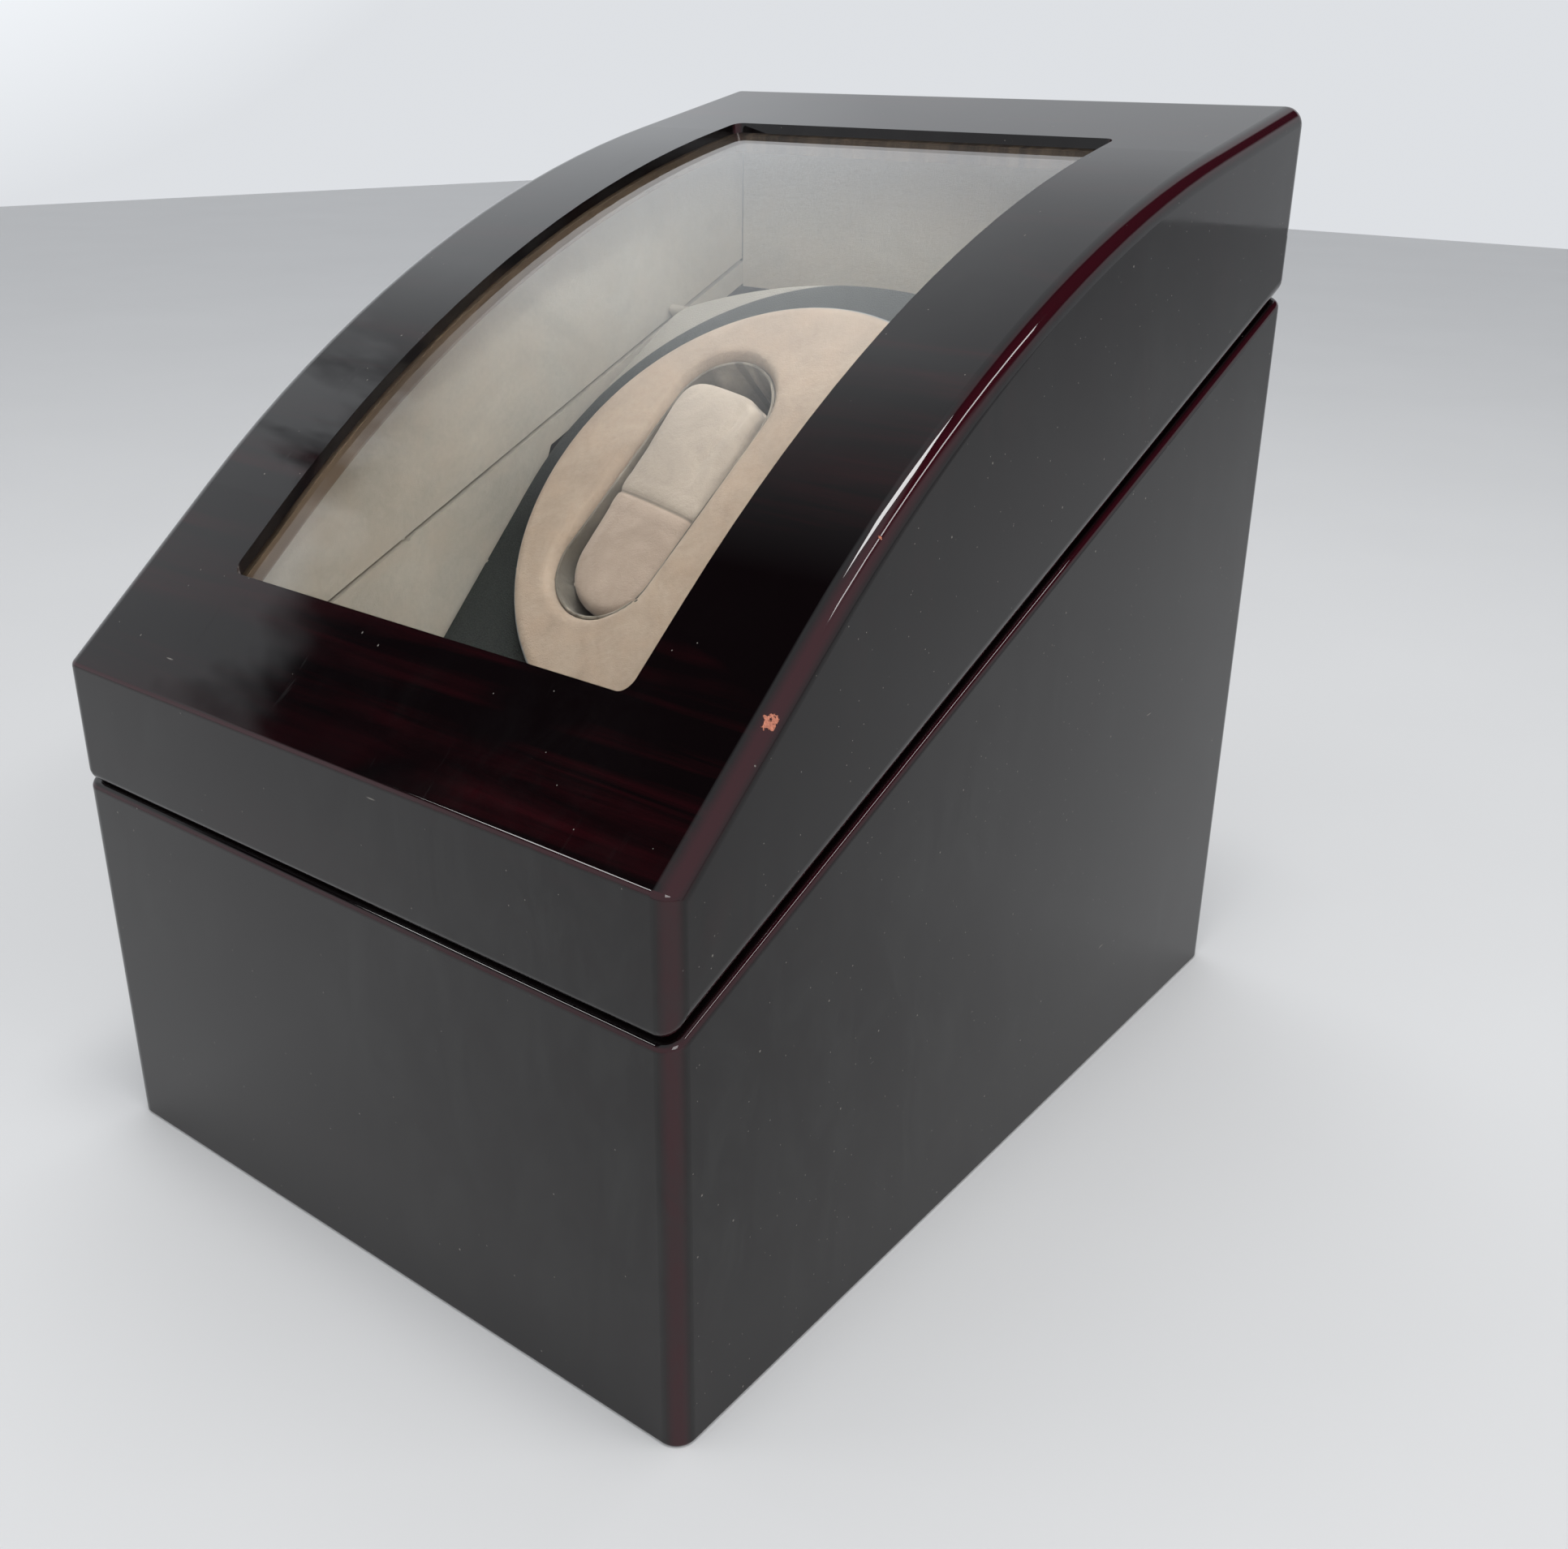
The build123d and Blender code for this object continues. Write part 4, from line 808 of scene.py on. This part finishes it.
# ---- Window: a sheet of bent glass ----
# 3 mm float glass, bent to the lid's curve and laid into a rebate from below. It is clear, with the
# faint grey-green of window glass and some wiping marks.
glass_tint = (0.965, 0.972, 0.965)
glass, tree, shader = new_finish("bent_window_glass", glass_tint, 0.0)
shader.inputs["Transmission Weight"].default_value = 1.0
shader.inputs["IOR"].default_value = 1.5
marks = cloud(tree, place(tree, (1.0, 0.6, 1.0)), 38.0, 6.0, 0.6)
tree.links.new(span(tree, marks, 0.55, 0.85, 0.0, 0.03), shader.inputs["Roughness"])
lamps = tree.nodes.new("ShaderNodeLightPath")
clear = tree.nodes.new("ShaderNodeBsdfTransparent")
clear.inputs["Color"].default_value = (*glass_tint, 1.0)
either = tree.nodes.new("ShaderNodeMixShader")
tree.links.new(lamps.outputs["Is Shadow Ray"], either.inputs[0])
tree.links.new(shader.outputs["BSDF"], either.inputs[1])
tree.links.new(clear.outputs["BSDF"], either.inputs[2])
tree.links.new(either.outputs["Shader"], tree.nodes["Material Output"].inputs["Surface"])
paint(glass, "window_glass")

# ---- Glazing beads ----
# Thin strips of stained open-grained hardwood, bent to the lid's curve. They are glued into the
# rebate under the glass and hold it up against the lid's lip.
bead, tree, shader = new_finish("stained_bead", (0.12, 0.07, 0.04), 0.45)
lines = cloud(tree, place(tree, (400.0, 14.0, 14.0)), 1.0, 5.0, 0.6, 0.3)
tree.links.new(
    blend_colours(tree, span(tree, lines, 0.35, 0.7), (0.045, 0.030, 0.021), (0.16, 0.11, 0.07)),
    shader.inputs["Base Color"],
)
raise_surface(tree, shader, lines, 0.0002)
paint(bead, "glass_bead_left", "glass_bead_right", "glass_bead_front", "glass_bead_back")

# ---- Lid stops ----
# Two small clear rubber dots stuck on the base's front rim. The lid closes on them, which keeps the
# lacquered edges apart.
rubber, tree, shader = new_finish("clear_rubber", (0.60, 0.60, 0.58), 0.35)
milky = cloud(tree, place(tree), 900.0, 3.0, 0.6)
tree.links.new(
    blend_colours(tree, span(tree, milky, 0.3, 0.7), (0.50, 0.50, 0.47), (0.70, 0.70, 0.68)),
    shader.inputs["Base Color"],
)
raise_surface(tree, shader, milky, 0.00005)
shader.inputs["Transmission Weight"].default_value = 0.5
paint(rubber, "lid_dots")

# ---- Floor ----
# A plain, matt, pale table top, wide enough for its far edge to be the horizon behind the box.
bpy.ops.object.select_all(action="DESELECT")
bpy.ops.mesh.primitive_plane_add(size=6.0)
floor = bpy.context.object
floor.name = "floor"
floor_paint, tree, shader = new_finish("floor_paint", (0.72, 0.72, 0.72), 0.9)
faint = cloud(tree, place(tree), 6.0, 3.0, 0.5)
tree.links.new(
    blend_colours(tree, faint, (0.70, 0.70, 0.70), (0.74, 0.74, 0.74)), shader.inputs["Base Color"]
)
floor.data.materials.append(floor_paint)

# ---- Light ----
# A pale room with a bright window on the left, a dark doorway beside it and a dark ceiling on the
# right, which the lacquer mirrors. One soft box is overhead and one on the right lights the inside,
# and a narrow strip on either side draws a white line along the lid's front and right edges.
bpy.context.scene.view_settings.view_transform = "Standard"
room = bpy.data.worlds.new("room")
bpy.context.scene.world = room
room.use_nodes = True
tree = room.node_tree
toward = tree.nodes.new("ShaderNodeTexCoord")
parts = tree.nodes.new("ShaderNodeSeparateXYZ")
tree.links.new(toward.outputs["Generated"], parts.inputs["Vector"])
wavy = span(tree, cloud(tree, toward.outputs["Generated"], 9.0, 4.0, 0.6), 0.3, 0.7, -0.03, 0.03)
doorway_side = sums(tree, "ADD", parts.outputs["X"], wavy)
doorway = sums(
    tree, "MULTIPLY", span(tree, doorway_side, -0.80, -0.77), span(tree, doorway_side, -0.36, -0.48)
)
doorway = sums(tree, "MULTIPLY", doorway, span(tree, parts.outputs["Y"], 0.30, -0.12))
doorway = sums(tree, "MULTIPLY", doorway, span(tree, parts.outputs["Z"], 0.40, 0.52))
ceiling_side = parts.outputs["X"]
ceiling = sums(tree, "MULTIPLY", span(tree, ceiling_side, 0.03, 0.10), span(tree, ceiling_side, 0.80, 0.70))
ceiling = sums(tree, "MULTIPLY", ceiling, span(tree, parts.outputs["Y"], -0.05, 0.05))
ceiling = sums(tree, "MULTIPLY", ceiling, span(tree, parts.outputs["Z"], 0.38, 0.46))
darkness = sums(tree, "MAXIMUM", doorway, ceiling)
background = tree.nodes["Background"]
window = tree.nodes.new("ShaderNodeVectorMath")
window.operation = "DOT_PRODUCT"
window.inputs[1].default_value = Vector((-0.85, 0.30, 0.43)).normalized()
tree.links.new(toward.outputs["Generated"], window.inputs[0])
daylight = span(tree, window.outputs["Value"], 0.86, 0.98)
walls = blend_colours(tree, daylight, (0.73, 0.75, 0.78), (1.12, 1.16, 1.2))
tree.links.new(blend_colours(tree, darkness, walls, (0.02, 0.02, 0.025)), background.inputs["Color"])

for name, where, power, across, deep in (
    ("soft_box_above", (0.16, -0.12, 1.35), 5.0, 0.36, 0.24),
    ("strip_right", (0.95, 0.20, 1.25), 3.4, 0.85, 0.10),
    ("soft_box_right", (1.00, -0.95, 0.78), 5.0, 0.50, 0.50),
    ("strip_left", (-0.92, -0.88, 1.05), 1.6, 0.50, 0.09),
):
    lamp = bpy.data.lights.new(name, "AREA")
    lamp.shape = "RECTANGLE"
    lamp.size = across
    lamp.size_y = deep
    lamp.energy = power
    holder = bpy.data.objects.new(name, lamp)
    bpy.context.scene.collection.objects.link(holder)
    holder.location = where
    aim = Vector((0.0, 0.0, 0.15)) - holder.location
    holder.rotation_euler = aim.to_track_quat("-Z", "Y").to_euler()

# ---- Camera ----
# Well round to the front right corner and slightly above the box, with a small shift to frame it.
camera_data = bpy.data.cameras.new("camera")
camera = bpy.data.objects.new("camera", camera_data)
bpy.context.scene.collection.objects.link(camera)
camera_data.sensor_width = 36.0
camera_data.lens = 36.25
camera_data.shift_x = -0.0203
camera_data.shift_y = -0.0241
camera.location = (0.26775, -0.32048, 0.27073)
camera.rotation_euler = (math.radians(67.306), math.radians(-1.124), math.radians(36.504))
bpy.context.scene.camera = camera
